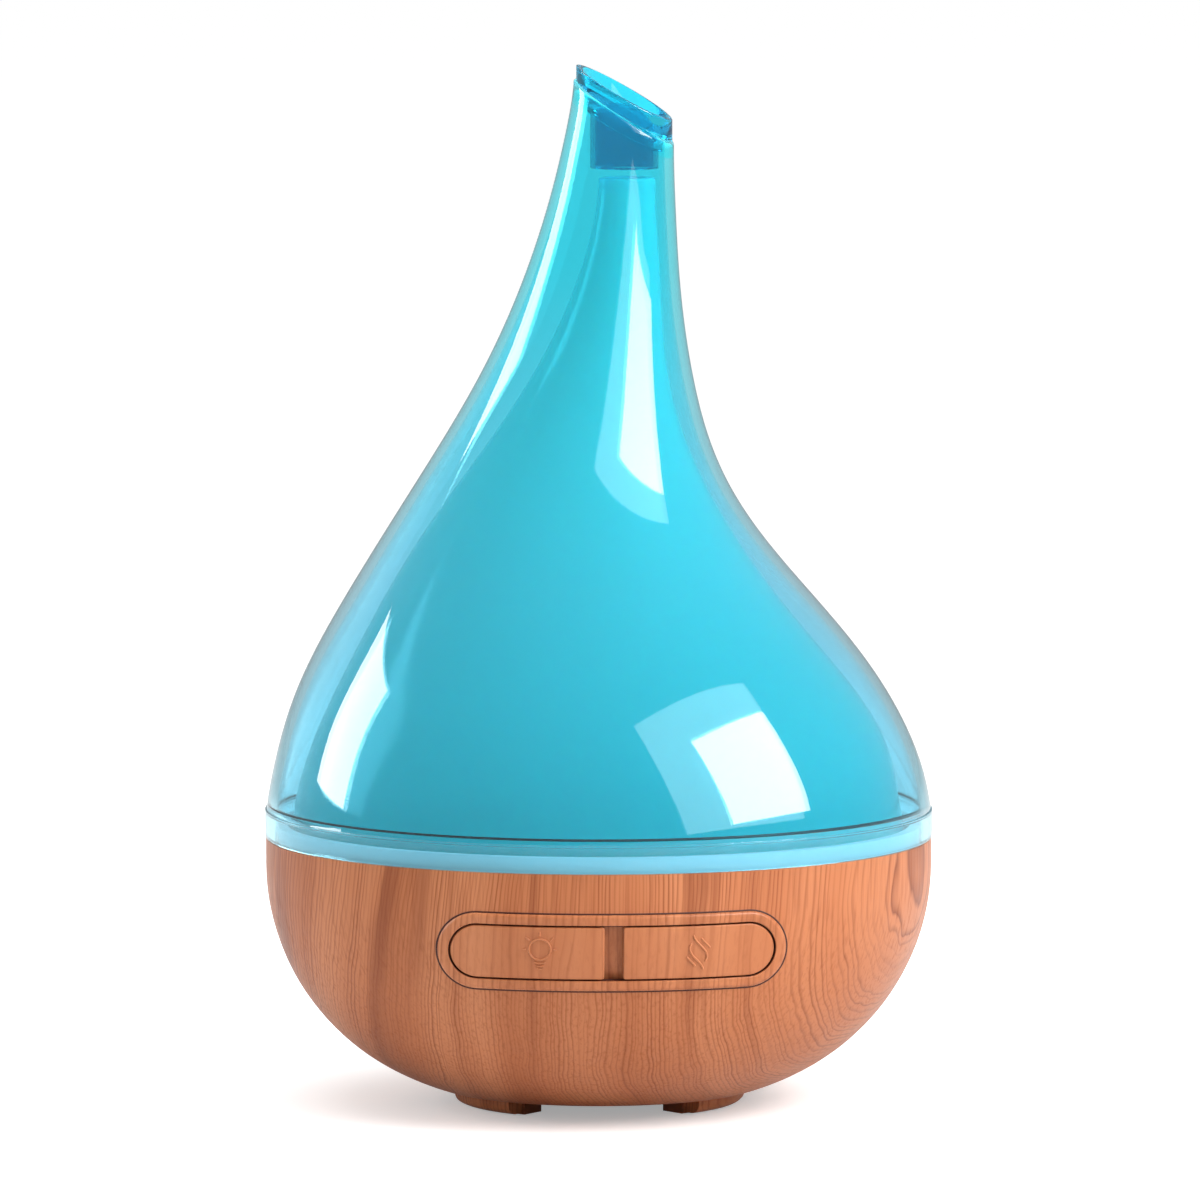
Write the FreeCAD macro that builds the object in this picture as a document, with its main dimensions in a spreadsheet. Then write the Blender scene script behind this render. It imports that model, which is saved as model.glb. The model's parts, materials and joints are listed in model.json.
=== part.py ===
import FreeCAD, Part
import math
import os
import re
import Sketcher
from FreeCAD import Rotation, Vector

# A cool mist humidifier: a wood-look bowl on three feet with a two-key panel, a white water tank with
# an ultrasonic disc and a fan below it, a milky inner cone, a clear teardrop cover and a clear spout.
# Frame: +Z up, the floor at Z = 0, the bowl's axis on the Z axis, the key panel facing -Y. Millimetres.

SIZES = {
    # bowl
    "bowl_radius": 75.2,
    "seam_height": 60.5,
    "side_start": 54.6,
    "side_arc": 52.3,
    "side_sweep": 61.4,
    "base_arc": 62.3,
    "bottom_slope": 17.2,
    "bowl_wall": 2.4,
    "ledge_reach": 5.4,
    "ledge_low": 55.6,
    "ledge_top": 57.3,
    # feet and underside
    "foot_radius": 33.3,
    "foot_wall": 4.9,
    "foot_sweep": 40,
    "foot_gap": 0.3,
    "foot_round": 2.6,
    "pad_width": 6.4,
    "pad_sweep": 43,
    "intake_radius": 14.6,
    "grille_radius": 20.6,
    "grille_height": 1.6,
    "collar_wall": 1.5,
    "collar_height": 2.2,
    "collar_play": 0.1,
    "slot_width": 1.6,
    "slot_pitch": 3.6,
    "slot_field": 12.4,
    "filter_height": 2,
    "filter_play": 0.3,
    # posts and their screws
    "post_pitch": 25.2,
    "post_radius": 4.4,
    "post_bore": 2.9,
    "post_seat": 24,
    "post_top": 27.5,
    "screw_radius": 1.5,
    "screw_head": 2.6,
    "screw_head_height": 2,
    "screw_reach": 9.5,
    "screw_play": 0.2,
    "boss_radius": 3.2,
    # water tank
    "tank_underside": 35.6,
    "tank_floor": 38,
    "tank_wall": 2.2,
    "basin_radius": 56,
    "basin_corner": 4,
    "shoulder_low": 52.5,
    "shoulder_top": 59.5,
    "shoulder_radius": 63.4,
    "rim_radius": 72.5,
    "rim_wall": 2.1,
    "rim_top": 64,
    "flange_low": 58.3,
    "chimney_pitch": 38,
    "chimney_turn": 30,
    "chimney_radius": 9.5,
    "chimney_wall": 1.8,
    "chimney_top": 61,
    "seal_radius": 72.3,
    "seal_width": 2,
    # ultrasonic disc
    "disc_radius": 10,
    "disc_thick": 0.8,
    "disc_low": 33.7,
    "disc_window": 7.6,
    "disc_seal_radius": 11.8,
    "disc_seal_low": 32.6,
    "clamp_radius": 16.4,
    "clamp_thick": 1.6,
    "clamp_pitch": 14.2,
    "clamp_screw_reach": 4.6,
    "clamp_hole_deep": 3.6,
    "small_screw": 1,
    "small_head": 1.9,
    "small_head_height": 1.2,
    # light ring
    "ring_inner": 17,
    "ring_outer": 21.6,
    "ring_low": 33.2,
    "ring_thick": 1,
    "ring_pitch": 19.3,
    "ring_screw_reach": 2.8,
    "ring_hole_deep": 2.4,
    "lamp_side": 3,
    "lamp_height": 0.9,
    # control board
    "board_length": 60,
    "board_depth": 28,
    "board_front": 52,
    "board_low": 24,
    "board_thick": 1.6,
    "board_screw_inset": 4,
    "board_post": 2.6,
    "board_screw_reach": 6,
    "capacitor_radius": 4,
    "capacitor_tall": 7.5,
    "capacitor_x": -15,
    "coil_radius": 4,
    "coil_core": 2.6,
    "coil_flange": 1,
    "coil_tall": 5,
    "coil_x": -4,
    "parts_y": -38,
    "sink_width": 14,
    "sink_back": 1.6,
    "sink_tall": 8,
    "sink_x": 6,
    "sink_y": -31,
    "fin_reach": 4,
    "fin_width": 1,
    "fin_pitch": 3.25,
    "driver_x": 9,
    "driver_width": 8,
    "driver_depth": 2.4,
    "driver_tall": 7,
    "chip_side": 7,
    "chip_tall": 1.4,
    "chip_y": -46,
    # fan and duct
    "fan_side": 30,
    "fan_height": 10,
    "fan_bore": 14,
    "fan_floor": 1.2,
    "strut_width": 1.6,
    "hub_radius": 6,
    "hub_wall": 1,
    "blade_reach": 13.3,
    "blade_thick": 0.9,
    "blade_chord": 5.4,
    "blade_pitch": 38,
    "shaft_radius": 1,
    "shaft_play": 0.04,
    "bearing_radius": 2.4,
    "fan_screw_pitch": 12,
    "fan_screw_bite": 1.6,
    "duct_wall": 1.5,
    "duct_flange": 1.4,
    # power socket
    "jack_height": 22,
    "jack_face": 56,
    "jack_well": 6.5,
    "jack_well_wall": 1.8,
    "jack_nose": 4,
    "jack_nose_long": 2,
    "jack_nose_play": 0.05,
    "jack_bore": 2.85,
    "jack_depth": 10,
    "jack_pin": 1,
    "jack_width": 9,
    "jack_tall": 10,
    "jack_long": 13,
    # key panel
    "panel_height": 43,
    "bezel_half": 38.8,
    "bezel_tall": 18,
    "bezel_proud": 0.8,
    "bezel_back": 3.4,
    "panel_border": 2.2,
    "panel_play": 0.3,
    "keys_half": 35.6,
    "keys_tall": 11.8,
    "key_gap": 0.3,
    "key_proud": 0.5,
    "key_thick": 1.6,
    "key_floor": 1.9,
    "key_split": 4.2,
    "key_spread": 19,
    "stem_radius": 1.6,
    "stem_hole": 2,
    "stem_tip": 66.72,
    "plunger_radius": 1.7,
    "plunger_tip": 66.6,
    "plunger_back": 64.8,
    "plunger_play": 0.08,
    "plunger_room": 0.7,
    "switch_side": 6,
    "switch_front": 65.4,
    "key_board_face": 62,
    "key_board_half": 26,
    "key_board_tall": 12,
    "key_post": 2,
    "key_post_spread": 8,
    "key_screw_reach": 5.2,
    # covers; every one is turned by cover_turn about Z
    "cover_turn": -13,
    "cover_wall": 2.1,
    "band_radius": 75.4,
    "band_wall": 2.2,
    "band_top": 67,
    "band_low": 60.6,
    "band_bevel": 0.5,
    "band_ledge": 66.2,
    "mouth_x": 5.5,
    "mouth_z": 224.4,
    "mouth_tilt": 32.5,
    "cone_wall": 1.8,
    "cone_foot": 59.6,
    "cone_foot_radius": 66.4,
    "cone_start": 63.4,
    "cone_radius": 69,
    # spout
    "spout_x": 5.85,
    "lip_radius": 10.8,
    "lip_tilt": 29.7,
    "lip_z": 228.7,
    "lip_gap": 0.1,
    "skirt_radius": 8.6,
    "skirt_z": 220,
    "tube_radius": 7.7,
    "tube_bore": 6.6,
    "tube_low": 211.3,
    "tube_round": 0.9,
    "funnel_radius": 9.7,
    "funnel_depth": 7,
    "trim": 60,
}

# Circular sections of the clear cover and of the inner cone: height, radius and sideways place of centre.
COVER_SECTIONS = [
    (67, 75.1, 0),
    (80, 72.2, -0.4),
    (100, 63, -2.4),
    (112, 54.9, -4),
    (136, 37.9, -6.3),
    (165, 23.9, -2.8),
    (195, 15.8, 1.9),
    (222, 11.9, 5.1),
    (238, 10.9, 6.6),
]
CONE_SECTIONS = [
    (63.4, 69, 0),
    (77, 66.35, 0),
    (95, 57.65, -1.05),
    (113, 45.4, -3.9),
    (131, 33.6, -4.5),
    (147, 23.7, -2.9),
    (163.6, 15.7, 0.2),
    (183, 10, 4.1),
    (198, 7.25, 5.95),
    (209.3, 6.45, 6.5),
]

FOOT_TURNS = {"front_right": -30, "rear": 90, "front_left": 210}
SIDES = {"light": -1, "mist": 1}

doc = FreeCAD.newDocument("Humidifier")
sheet = doc.addObject("Spreadsheet::Sheet", "Sizes")
nodes = []


def fill_sheet():
    """One row per driving dimension: its alias in column A and its plain number in column B."""
    rows = dict(SIZES)
    for prefix, sections in (("cover", COVER_SECTIONS), ("cone", CONE_SECTIONS)):
        for index, section in enumerate(sections):
            for word, number in zip(("height", "radius", "centre"), section):
                rows[f"{prefix}_{word}_{index}"] = number
    for row, (alias, number) in enumerate(rows.items(), 1):
        sheet.set(f"A{row}", alias)
        sheet.set(f"B{row}", str(number))
        sheet.setAlias(f"B{row}", alias)
    doc.recompute()


def linked(text):
    """The expression with each alias written as a reference to the sheet."""
    return re.sub(r"\b([a-z]\w*)\b(?!\()", r"Sizes.\1", str(text))


def number(text):
    """The present value of an expression of the sheet's aliases."""
    found = sheet.evalExpression(linked(text))
    return float(getattr(found, "Value", found))


def bind(thing, **expressions):
    """Ties properties to expressions; a double underscore in a name stands for a dot."""
    for name, text in expressions.items():
        thing.setExpression(name.replace("__", "."), linked(text))
    return thing


def place(thing, x=0, y=0, z=0, turn=None, axis=(0, 0, 1)):
    """Binds a thing's place and, when given, its turn about an axis."""
    if turn is not None:
        thing.Placement.Rotation = Rotation(Vector(*axis), number(turn))
        bind(thing, Placement__Rotation__Angle=turn)
    return bind(thing, Placement__Base__x=x, Placement__Base__y=y, Placement__Base__z=z)


def box(name, size, corner):
    """A block from its size and lowest corner."""
    block = doc.addObject("Part::Box", name)
    bind(block, Length=size[0], Width=size[1], Height=size[2])
    return place(block, *corner)


def rod(name, radius, length, start, axis="Z"):
    """A cylinder from its start point along +Z or along +Y."""
    cylinder = doc.addObject("Part::Cylinder", name)
    bind(cylinder, Radius=radius, Height=length)
    if axis == "Z":
        return place(cylinder, *start)
    return place(cylinder, *start, turn=-90, axis=(1, 0, 0))


def fuse(name, pieces, refine=True):
    """The pieces as one shape."""
    whole = doc.addObject("Part::MultiFuse", name)
    whole.Shapes = pieces
    whole.Refine = refine
    return whole


def group(name, pieces):
    """Separate solids held in one shape."""
    whole = doc.addObject("Part::Compound", name)
    whole.Links = pieces
    return whole


def cut(name, base, tools):
    """The base with every tool taken away."""
    left = doc.addObject("Part::Cut", name)
    left.Base = base
    left.Tool = tools[0] if len(tools) == 1 else fuse(name + "_tools", tools, False)
    left.Refine = True
    return left


def shared(name, one, other):
    """What two shapes have in common."""
    both = doc.addObject("Part::MultiCommon", name)
    both.Shapes = [one, other]
    both.Refine = True
    return both


def node(thing, label):
    """Marks a finished sub-part; its label names its file."""
    thing.Label = label
    nodes.append(thing)
    return thing


def edge_between(start, end, radius, side):
    """A straight edge, or an arc that turns left (side 1) or right (side -1) from start to end."""
    if radius is None:
        return Part.LineSegment(start, end)
    middle = (start + end) / 2
    along = (end - start).normalize()
    left = Vector(-along.y, along.x, 0)
    half = (end - start).Length / 2
    centre = middle + left * side * math.sqrt(max(radius**2 - half**2, 0))
    first, last = (start, end) if side > 0 else (end, start)
    angles = [math.atan2(point.y - centre.y, point.x - centre.x) for point in (first, last)]
    if angles[1] < angles[0]:
        angles[1] += 2 * math.pi
    return Part.ArcOfCircle(Part.Circle(centre, Vector(0, 0, 1), radius), *angles)


def profile(body, name, role, vertices):
    """A closed sketch; each vertex is (x, y) or (x, y, radius, side) with the arc that follows it."""
    sketch = body.newObject("Sketcher::SketchObject", name)
    plane = next(thing for thing in body.Origin.OriginFeatures if thing.Role == role)
    sketch.AttachmentSupport = [(plane, "")]
    sketch.MapMode = "FlatFace"
    points = [Vector(number(vertex[0]), number(vertex[1]), 0) for vertex in vertices]
    ends = []
    for index, vertex in enumerate(vertices):
        radius, side = (number(vertex[2]), vertex[3]) if len(vertex) > 2 else (None, 1)
        following = points[(index + 1) % len(points)]
        sketch.addGeometry(edge_between(points[index], following, radius, side))
        ends.append((1, 2) if side > 0 else (2, 1))
    for index in range(len(vertices)):
        following = (index + 1) % len(vertices)
        sketch.addConstraint(
            Sketcher.Constraint("Coincident", index, ends[index][1], following, ends[following][0])
        )
    for index, vertex in enumerate(vertices):
        for kind, letter, text in (("DistanceX", "x", vertex[0]), ("DistanceY", "y", vertex[1])):
            spot = sketch.addConstraint(
                Sketcher.Constraint(kind, -1, 1, index, ends[index][0], number(text))
            )
            sketch.renameConstraint(spot, f"{letter}{index}")
            sketch.setExpression(f"Constraints.{letter}{index}", linked(text))
        if len(vertex) > 2:
            spot = sketch.addConstraint(Sketcher.Constraint("Radius", index, number(vertex[2])))
            sketch.renameConstraint(spot, f"arc{index}")
            sketch.setExpression(f"Constraints.arc{index}", linked(vertex[2]))
    return sketch


def revolved(name, vertices):
    """A body of revolution about Z from a profile of radius and height."""
    body = doc.addObject("PartDesign::Body", name)
    sketch = profile(body, name + "_profile", "XZ_Plane", vertices)
    turned = body.newObject("PartDesign::Revolution", name + "_turned")
    turned.Profile = sketch
    turned.ReferenceAxis = (sketch, ["V_Axis"])
    turned.Angle = 360
    sketch.Visibility = False
    return body


def lofted(name, prefix, count, wall):
    """A smooth solid through a run of level circles, drawn in by a wall measured square to the skin."""
    circles = []
    for index in range(count):
        low, high = max(index - 1, 0), min(index + 1, count - 1)
        slope = (
            f"({prefix}_radius_{low} - {prefix}_radius_{high})"
            f" / ({prefix}_height_{high} - {prefix}_height_{low})"
        )
        circle = doc.addObject("Part::Circle", f"{name}_ring_{index}")
        bind(circle, Radius=f"{prefix}_radius_{index} - {wall} * sqrt(1 + ({slope})^2)")
        place(circle, f"{prefix}_centre_{index}", 0, f"{prefix}_height_{index}")
        circles.append(circle)
    skin = doc.addObject("Part::Loft", name)
    skin.Sections = circles
    skin.Solid = True
    skin.Ruled = False
    return skin


def sector(name, outer, inner, sweep, turn, low, high):
    """A block of ring centred on a turn about Z."""
    start = f"({turn}) - ({sweep}) / 2"
    whole = doc.addObject("Part::Cylinder", name + "_outer")
    bind(whole, Radius=outer, Height=f"({high}) - ({low})", Angle=sweep)
    place(whole, 0, 0, low, turn=start)
    return cut(name, whole, [rod(name + "_inner", inner, f"({high}) - ({low})", (0, 0, low))])


def polar(pitch, turn):
    """The x and y of a point at a pitch radius and a turn about Z."""
    return f"({pitch}) * cos({turn})", f"({pitch}) * sin({turn})"


LARGE_SCREW = ("screw_radius", "screw_head", "screw_head_height")
SMALL_SCREW = ("small_screw", "small_head", "small_head_height")


def fastener(name, spot, top, reach, kind=SMALL_SCREW):
    """A screw that points up: its head ends at top and its shank reaches on above it."""
    shank, head, tall = kind
    shaft = rod(name + "_shank", shank, f"({reach}) + ({tall})", (*spot, f"({top}) - ({tall})"))
    cap = rod(name + "_head", head, tall, (*spot, f"({top}) - ({tall})"))
    return fuse(name, [shaft, cap])


def driven(name, spot, seat, reach):
    """A small screw that points down: its head rests on seat and its shank goes down from it."""
    shank, head, tall = SMALL_SCREW
    shaft = rod(name + "_shank", shank, f"({reach}) + ({tall})", (*spot, f"({seat}) - ({reach})"))
    cap = rod(name + "_head", head, tall, (*spot, seat))
    return fuse(name, [shaft, cap])


def stadium(name, half, tall, depth=90):
    """A bar with round ends along -Y, centred on the key panel's height."""
    across = f"({half}) - ({tall}) / 2"
    middle = box(
        name + "_middle",
        (f"2 * ({across})", depth, tall),
        (f"-({across})", -depth, f"panel_height - ({tall}) / 2"),
    )
    ends = [
        rod(
            f"{name}_end_{side}",
            f"({tall}) / 2",
            depth,
            (f"{side} * ({across})", -depth, "panel_height"),
            "Y",
        )
        for side in (-1, 1)
    ]
    return fuse(name, [middle, *ends])


def bowl_solid(name, offset, top="seam_height"):
    """The bowl's outer form as a solid, grown by an offset: wall, side arc, base arc, flat bottom."""
    side = f"(side_arc + {offset})"
    base = f"(base_arc + {offset})"
    radius = f"bowl_radius + {offset}"
    centre_x = "bowl_radius - side_arc"
    base_x = f"{centre_x} + (side_arc - base_arc) * cos(side_sweep)"
    base_z = "side_start - (side_arc - base_arc) * sin(side_sweep)"
    low = f"{base_z} - {base} * cos(bottom_slope)"
    return revolved(
        name,
        [
            ("0", top),
            ("0", low),
            (f"{base_x} + {base} * sin(bottom_slope)", low, base, 1),
            (f"{centre_x} + {side} * cos(side_sweep)", f"side_start - {side} * sin(side_sweep)", side, 1),
            (radius, "side_start"),
            (radius, top),
        ],
    )


# The underside of the bowl's flat bottom, and the inside of it.
BOTTOM = "(side_start - (side_arc - base_arc) * sin(side_sweep) - base_arc * cos(bottom_slope))"
FLOOR = f"({BOTTOM} + bowl_wall * cos(bottom_slope))"
# Screw places on the control board and on the fan, and the place of the tank's air chimney.
BOARD_SPOTS = [
    (f"{side} * (board_length / 2 - board_screw_inset)", f"-{edge}")
    for side in (-1, 1)
    for edge in (
        "(board_front - board_screw_inset)",
        "(board_front - board_depth + board_screw_inset)",
    )
]
FAN_SPOTS = [(f"{a} * fan_screw_pitch", f"{b} * fan_screw_pitch") for a in (-1, 1) for b in (-1, 1)]
CHIMNEY = polar("chimney_pitch", "chimney_turn")


def base_shell(core):
    """The wood-look bowl with its ledge, feet, screw posts, socket well and panel opening."""
    cavity = bowl_solid("bowl_cavity", "(-bowl_wall)")
    ledge = revolved(
        "ledge",
        [
            ("bowl_radius - bowl_wall / 2", "side_start"),
            ("bowl_radius - bowl_wall / 2", "ledge_top"),
            ("bowl_radius - ledge_reach", "ledge_top"),
            ("bowl_radius - ledge_reach", "ledge_low"),
            ("bowl_radius - bowl_wall", "side_start"),
        ],
    )
    posts = [
        rod(f"tank_post_{name}", "post_radius", "post_top - 4", (*polar("post_pitch", turn), 4))
        for name, turn in FOOT_TURNS.items()
    ]
    posts += [
        rod(f"board_post_{index}", "board_post", "board_low - 4", (*spot, 4))
        for index, spot in enumerate(BOARD_SPOTS)
    ]
    well = rod(
        "jack_tube",
        "jack_well + jack_well_wall",
        "bowl_radius - jack_face + jack_nose_long",
        (0, "jack_face - jack_nose_long", "jack_height"),
        "Y",
    )
    inside = shared("bowl_furniture", fuse("furniture", [*posts, well]), core)
    foot_ring = revolved(
        "foot_ring",
        [
            ("foot_radius - foot_wall", "foot_gap"),
            ("foot_radius - foot_round", "foot_gap", "foot_round", 1),
            ("foot_radius", "foot_gap + foot_round"),
            ("foot_radius", f"{BOTTOM} + 1"),
            ("foot_radius - foot_wall", f"{BOTTOM} + 1"),
        ],
    )
    feet = [
        shared(
            f"foot_{name}",
            foot_ring,
            sector(
                f"foot_block_{name}",
                "foot_radius + 1",
                "foot_radius - foot_wall - 1",
                "foot_sweep",
                turn,
                "0",
                f"{BOTTOM} + 1",
            ),
        )
        for name, turn in FOOT_TURNS.items()
    ]
    shell = fuse("bowl_shell", [cut("bowl_skin", core, [cavity]), ledge, inside, *feet])
    openings = [
        rod("intake_hole", "intake_radius", 10, (0, 0, 0)),
        stadium(
            "panel_hole",
            "bezel_half - panel_border + panel_play",
            "bezel_tall - 2 * panel_border + 2 * panel_play",
        ),
        rod("jack_well_hole", "jack_well", 30, (0, "jack_face", "jack_height"), "Y"),
        rod(
            "jack_nose_hole",
            "jack_nose + jack_nose_play",
            "jack_nose_long + 2",
            (0, "jack_face - jack_nose_long - 1", "jack_height"),
            "Y",
        ),
    ]
    for name, turn in FOOT_TURNS.items():
        spot = polar("post_pitch", turn)
        openings.append(rod(f"post_bore_{name}", "post_bore", "post_seat - 2", (*spot, 2)))
        openings.append(rod(f"post_hole_{name}", "screw_radius + screw_play", "post_top", (*spot, 2)))
    for index, spot in enumerate(BOARD_SPOTS):
        openings.append(rod(f"board_hole_{index}", "small_screw", 8, (*spot, "board_low - 5")))
    for index, spot in enumerate(FAN_SPOTS):
        openings.append(rod(f"fan_hole_{index}", "small_screw", 4, (*spot, f"{FLOOR} - 1.8")))
    node(cut("bowl", shell, openings), "base_shell")


def foot_pads():
    """The black rubber pads nested inside the feet; they touch the floor and hide the tank's screws."""
    for name, turn in FOOT_TURNS.items():
        outer = "foot_radius - foot_wall"
        pad = sector(f"pad_{name}", outer, f"{outer} - pad_width", "pad_sweep", turn, "0", BOTTOM)
        node(pad, f"foot_pad_{name}")


def bottom_plate():
    """The black intake grille that clips into the bowl's bottom, and the filter above it."""
    low = f"{BOTTOM} - grille_height"
    plate = rod("grille_disc", "grille_radius", "grille_height", (0, 0, low))
    collar = cut(
        "grille_collar",
        rod("collar_outer", "intake_radius - collar_play", "collar_height", (0, 0, BOTTOM)),
        [rod("collar_inner", "intake_radius - collar_play - collar_wall", "collar_height", (0, 0, BOTTOM))],
    )
    bars = [
        box(
            f"slot_{index}",
            ("2 * slot_field", "slot_width", 4),
            ("-slot_field", f"{index} * slot_pitch - slot_width / 2", f"{low} - 1"),
        )
        for index in range(-3, 4)
    ]
    field = rod("slot_field_disc", "slot_field", 4, (0, 0, f"{low} - 1"))
    slots = shared("slots", fuse("slot_bars", bars, False), field)
    node(cut("grille", fuse("grille_body", [plate, collar]), [slots]), "bottom_plate")
    node(
        rod("filter", "intake_radius - collar_wall - filter_play", "filter_height", (0, 0, BOTTOM)),
        "intake_filter",
    )


def water_tank():
    """The white basin with its rim, air chimney, screw bosses and the window for the disc."""
    corner = "(basin_radius - basin_corner)"
    outer_corner = "(basin_corner + tank_wall)"
    basin = revolved(
        "basin",
        [
            ("0", "tank_underside"),
            (corner, "tank_underside", outer_corner, 1),
            ("basin_radius + tank_wall", f"tank_underside + {outer_corner}"),
            ("basin_radius + tank_wall", "shoulder_low"),
            ("shoulder_radius", "shoulder_top - tank_wall"),
            ("rim_radius - rim_wall - 1.8", "shoulder_top - tank_wall"),
            ("rim_radius - rim_wall - 0.8", "flange_low"),
            ("rim_radius", "flange_low"),
            ("rim_radius", "rim_top"),
            ("rim_radius - rim_wall", "rim_top"),
            ("rim_radius - rim_wall", "shoulder_top"),
            ("shoulder_radius", "shoulder_top"),
            ("basin_radius", "shoulder_low + 0.6"),
            ("basin_radius", "tank_floor + basin_corner", "basin_corner", -1),
            (corner, "tank_floor"),
            ("0", "tank_floor"),
        ],
    )
    chimney = rod(
        "chimney", "chimney_radius", "chimney_top - tank_underside", (*CHIMNEY, "tank_underside")
    )
    added = [basin, chimney]
    taken = [
        rod("chimney_bore", "chimney_radius - chimney_wall", 40, (*CHIMNEY, "tank_underside - 1")),
        rod("disc_window", "disc_window + 0.6", 8, (0, 0, "tank_underside - 1")),
    ]
    for name, turn in FOOT_TURNS.items():
        spot = polar("post_pitch", turn)
        boss_low = "post_top + 0.1"
        tall = f"tank_floor - 1 - ({boss_low})"
        added.append(rod(f"boss_{name}", "boss_radius", tall, (*spot, boss_low)))
        taken.append(rod(f"boss_hole_{name}", "screw_radius", "screw_reach - 3", (*spot, boss_low)))
    for index in range(3):
        spot = polar("clamp_pitch", 120 * index + 90)
        low = "disc_seal_low"
        tall = f"tank_floor - 1 - {low}"
        added.append(rod(f"clamp_boss_{index}", "small_screw + 1", tall, (*spot, low)))
        taken.append(rod(f"clamp_hole_{index}", "small_screw", "clamp_hole_deep", (*spot, low)))
        spot = polar("ring_pitch", 120 * index + 60)
        low = "ring_low + ring_thick"
        tall = f"tank_floor - 1 - ({low})"
        added.append(rod(f"ring_boss_{index}", "small_screw + 0.7", tall, (*spot, low)))
        taken.append(rod(f"ring_hole_{index}", "small_screw", "ring_hole_deep", (*spot, low)))
    node(cut("tank", fuse("tank_body", added), taken), "water_tank")
    tall = "flange_low - ledge_top"
    seal = cut(
        "rim_seal",
        rod("rim_seal_outer", "seal_radius", tall, (0, 0, "ledge_top")),
        [rod("rim_seal_inner", "seal_radius - seal_width", tall, (0, 0, "ledge_top"))],
    )
    node(seal, "tank_seal")


def tank_screws():
    """Three screws up through the hidden posts into the tank's bosses."""
    screws = [
        fastener(f"tank_screw_{name}", polar("post_pitch", turn), "post_seat", "screw_reach", LARGE_SCREW)
        for name, turn in FOOT_TURNS.items()
    ]
    node(group("tank_screw_group", screws), "tank_screws")


def transducer():
    """The ultrasonic disc in its rubber seal, pressed up by a clamp plate with three screws."""
    disc = rod("disc", "disc_radius", "disc_thick", (0, 0, "disc_low"))
    node(disc, "transducer_disc")
    height = "tank_underside - disc_seal_low"
    seal = cut(
        "disc_seal",
        rod("disc_seal_outer", "disc_seal_radius", height, (0, 0, "disc_seal_low")),
        [
            rod("disc_seal_window", "disc_window", height, (0, 0, "disc_seal_low")),
            rod("disc_seal_groove", "disc_radius", "disc_thick", (0, 0, "disc_low")),
        ],
    )
    node(seal, "transducer_seal")
    low = "disc_seal_low - clamp_thick"
    spots = [polar("clamp_pitch", 120 * index + 90) for index in range(3)]
    clamp = cut(
        "clamp",
        rod("clamp_disc", "clamp_radius", "clamp_thick", (0, 0, low)),
        [rod("clamp_window", "disc_window", "clamp_thick", (0, 0, low))]
        + [
            rod(f"clamp_pass_{index}", "small_screw", "clamp_thick", (*spot, low))
            for index, spot in enumerate(spots)
        ],
    )
    node(clamp, "transducer_clamp")
    screws = [
        fastener(f"clamp_screw_{index}", spot, low, "clamp_screw_reach")
        for index, spot in enumerate(spots)
    ]
    node(group("clamp_screw_group", screws), "transducer_screws")


def light_ring():
    """The ring board under the tank with its six lamps and three screws."""
    spots = [polar("ring_pitch", 120 * index + 60) for index in range(3)]
    board = cut(
        "ring_board",
        rod("ring_disc", "ring_outer", "ring_thick", (0, 0, "ring_low")),
        [rod("ring_window", "ring_inner", "ring_thick", (0, 0, "ring_low"))]
        + [
            rod(f"ring_pass_{index}", "small_screw", "ring_thick", (*spot, "ring_low"))
            for index, spot in enumerate(spots)
        ],
    )
    node(board, "led_ring_board")
    lamps = []
    for index in range(6):
        spot = polar("ring_pitch", 60 * index + 30)
        half = "lamp_side / 2"
        corner = (f"{spot[0]} - {half}", f"{spot[1]} - {half}", "ring_low + ring_thick")
        lamps.append(box(f"lamp_{index}", ("lamp_side", "lamp_side", "lamp_height"), corner))
    node(group("lamp_group", lamps), "leds")
    screws = [
        fastener(f"ring_screw_{index}", spot, "ring_low", "ring_screw_reach")
        for index, spot in enumerate(spots)
    ]
    node(group("ring_screw_group", screws), "led_board_screws")


def control_board():
    """The driver board on its four posts with its larger components."""
    board = box(
        "board",
        ("board_length", "board_depth", "board_thick"),
        ("-board_length / 2", "-board_front", "board_low"),
    )
    passes = [
        rod(f"board_pass_{index}", "small_screw", "board_thick", (*spot, "board_low"))
        for index, spot in enumerate(BOARD_SPOTS)
    ]
    node(cut("board_drilled", board, passes), "control_board")
    top = "board_low + board_thick"
    screws = [
        driven(f"board_screw_{index}", spot, top, "board_screw_reach")
        for index, spot in enumerate(BOARD_SPOTS)
    ]
    node(group("board_screw_group", screws), "board_screws")
    can = rod("capacitor_can", "capacitor_radius", "capacitor_tall", ("capacitor_x", "parts_y", top))
    node(can, "capacitor")
    spot = ("coil_x", "parts_y")
    coil = [
        rod("coil_foot", "coil_radius", "coil_flange", (*spot, top)),
        rod("coil_core", "coil_core", "coil_tall - coil_flange / 2", (*spot, top)),
        rod("coil_cap", "coil_radius", "coil_flange", (*spot, f"{top} + coil_tall - coil_flange")),
    ]
    node(fuse("coil", coil), "inductor")
    sink = box("sink_plate", ("sink_width", "sink_back", "sink_tall"), ("sink_x", "sink_y", top))
    fins = [
        box(
            f"sink_fin_{index}",
            ("fin_width", "fin_reach", "sink_tall"),
            (f"sink_x + {index} * fin_pitch", "sink_y - fin_reach", top),
        )
        for index in range(5)
    ]
    node(fuse("sink", [sink, *fins]), "heat_sink")
    driver = box(
        "driver",
        ("driver_width", "driver_depth", "driver_tall"),
        ("driver_x", "sink_y + sink_back", top),
    )
    node(driver, "driver_transistor")
    node(box("chip", ("chip_side", "chip_side", "chip_tall"), ("sink_x", "chip_y", top)), "control_chip")


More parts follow.
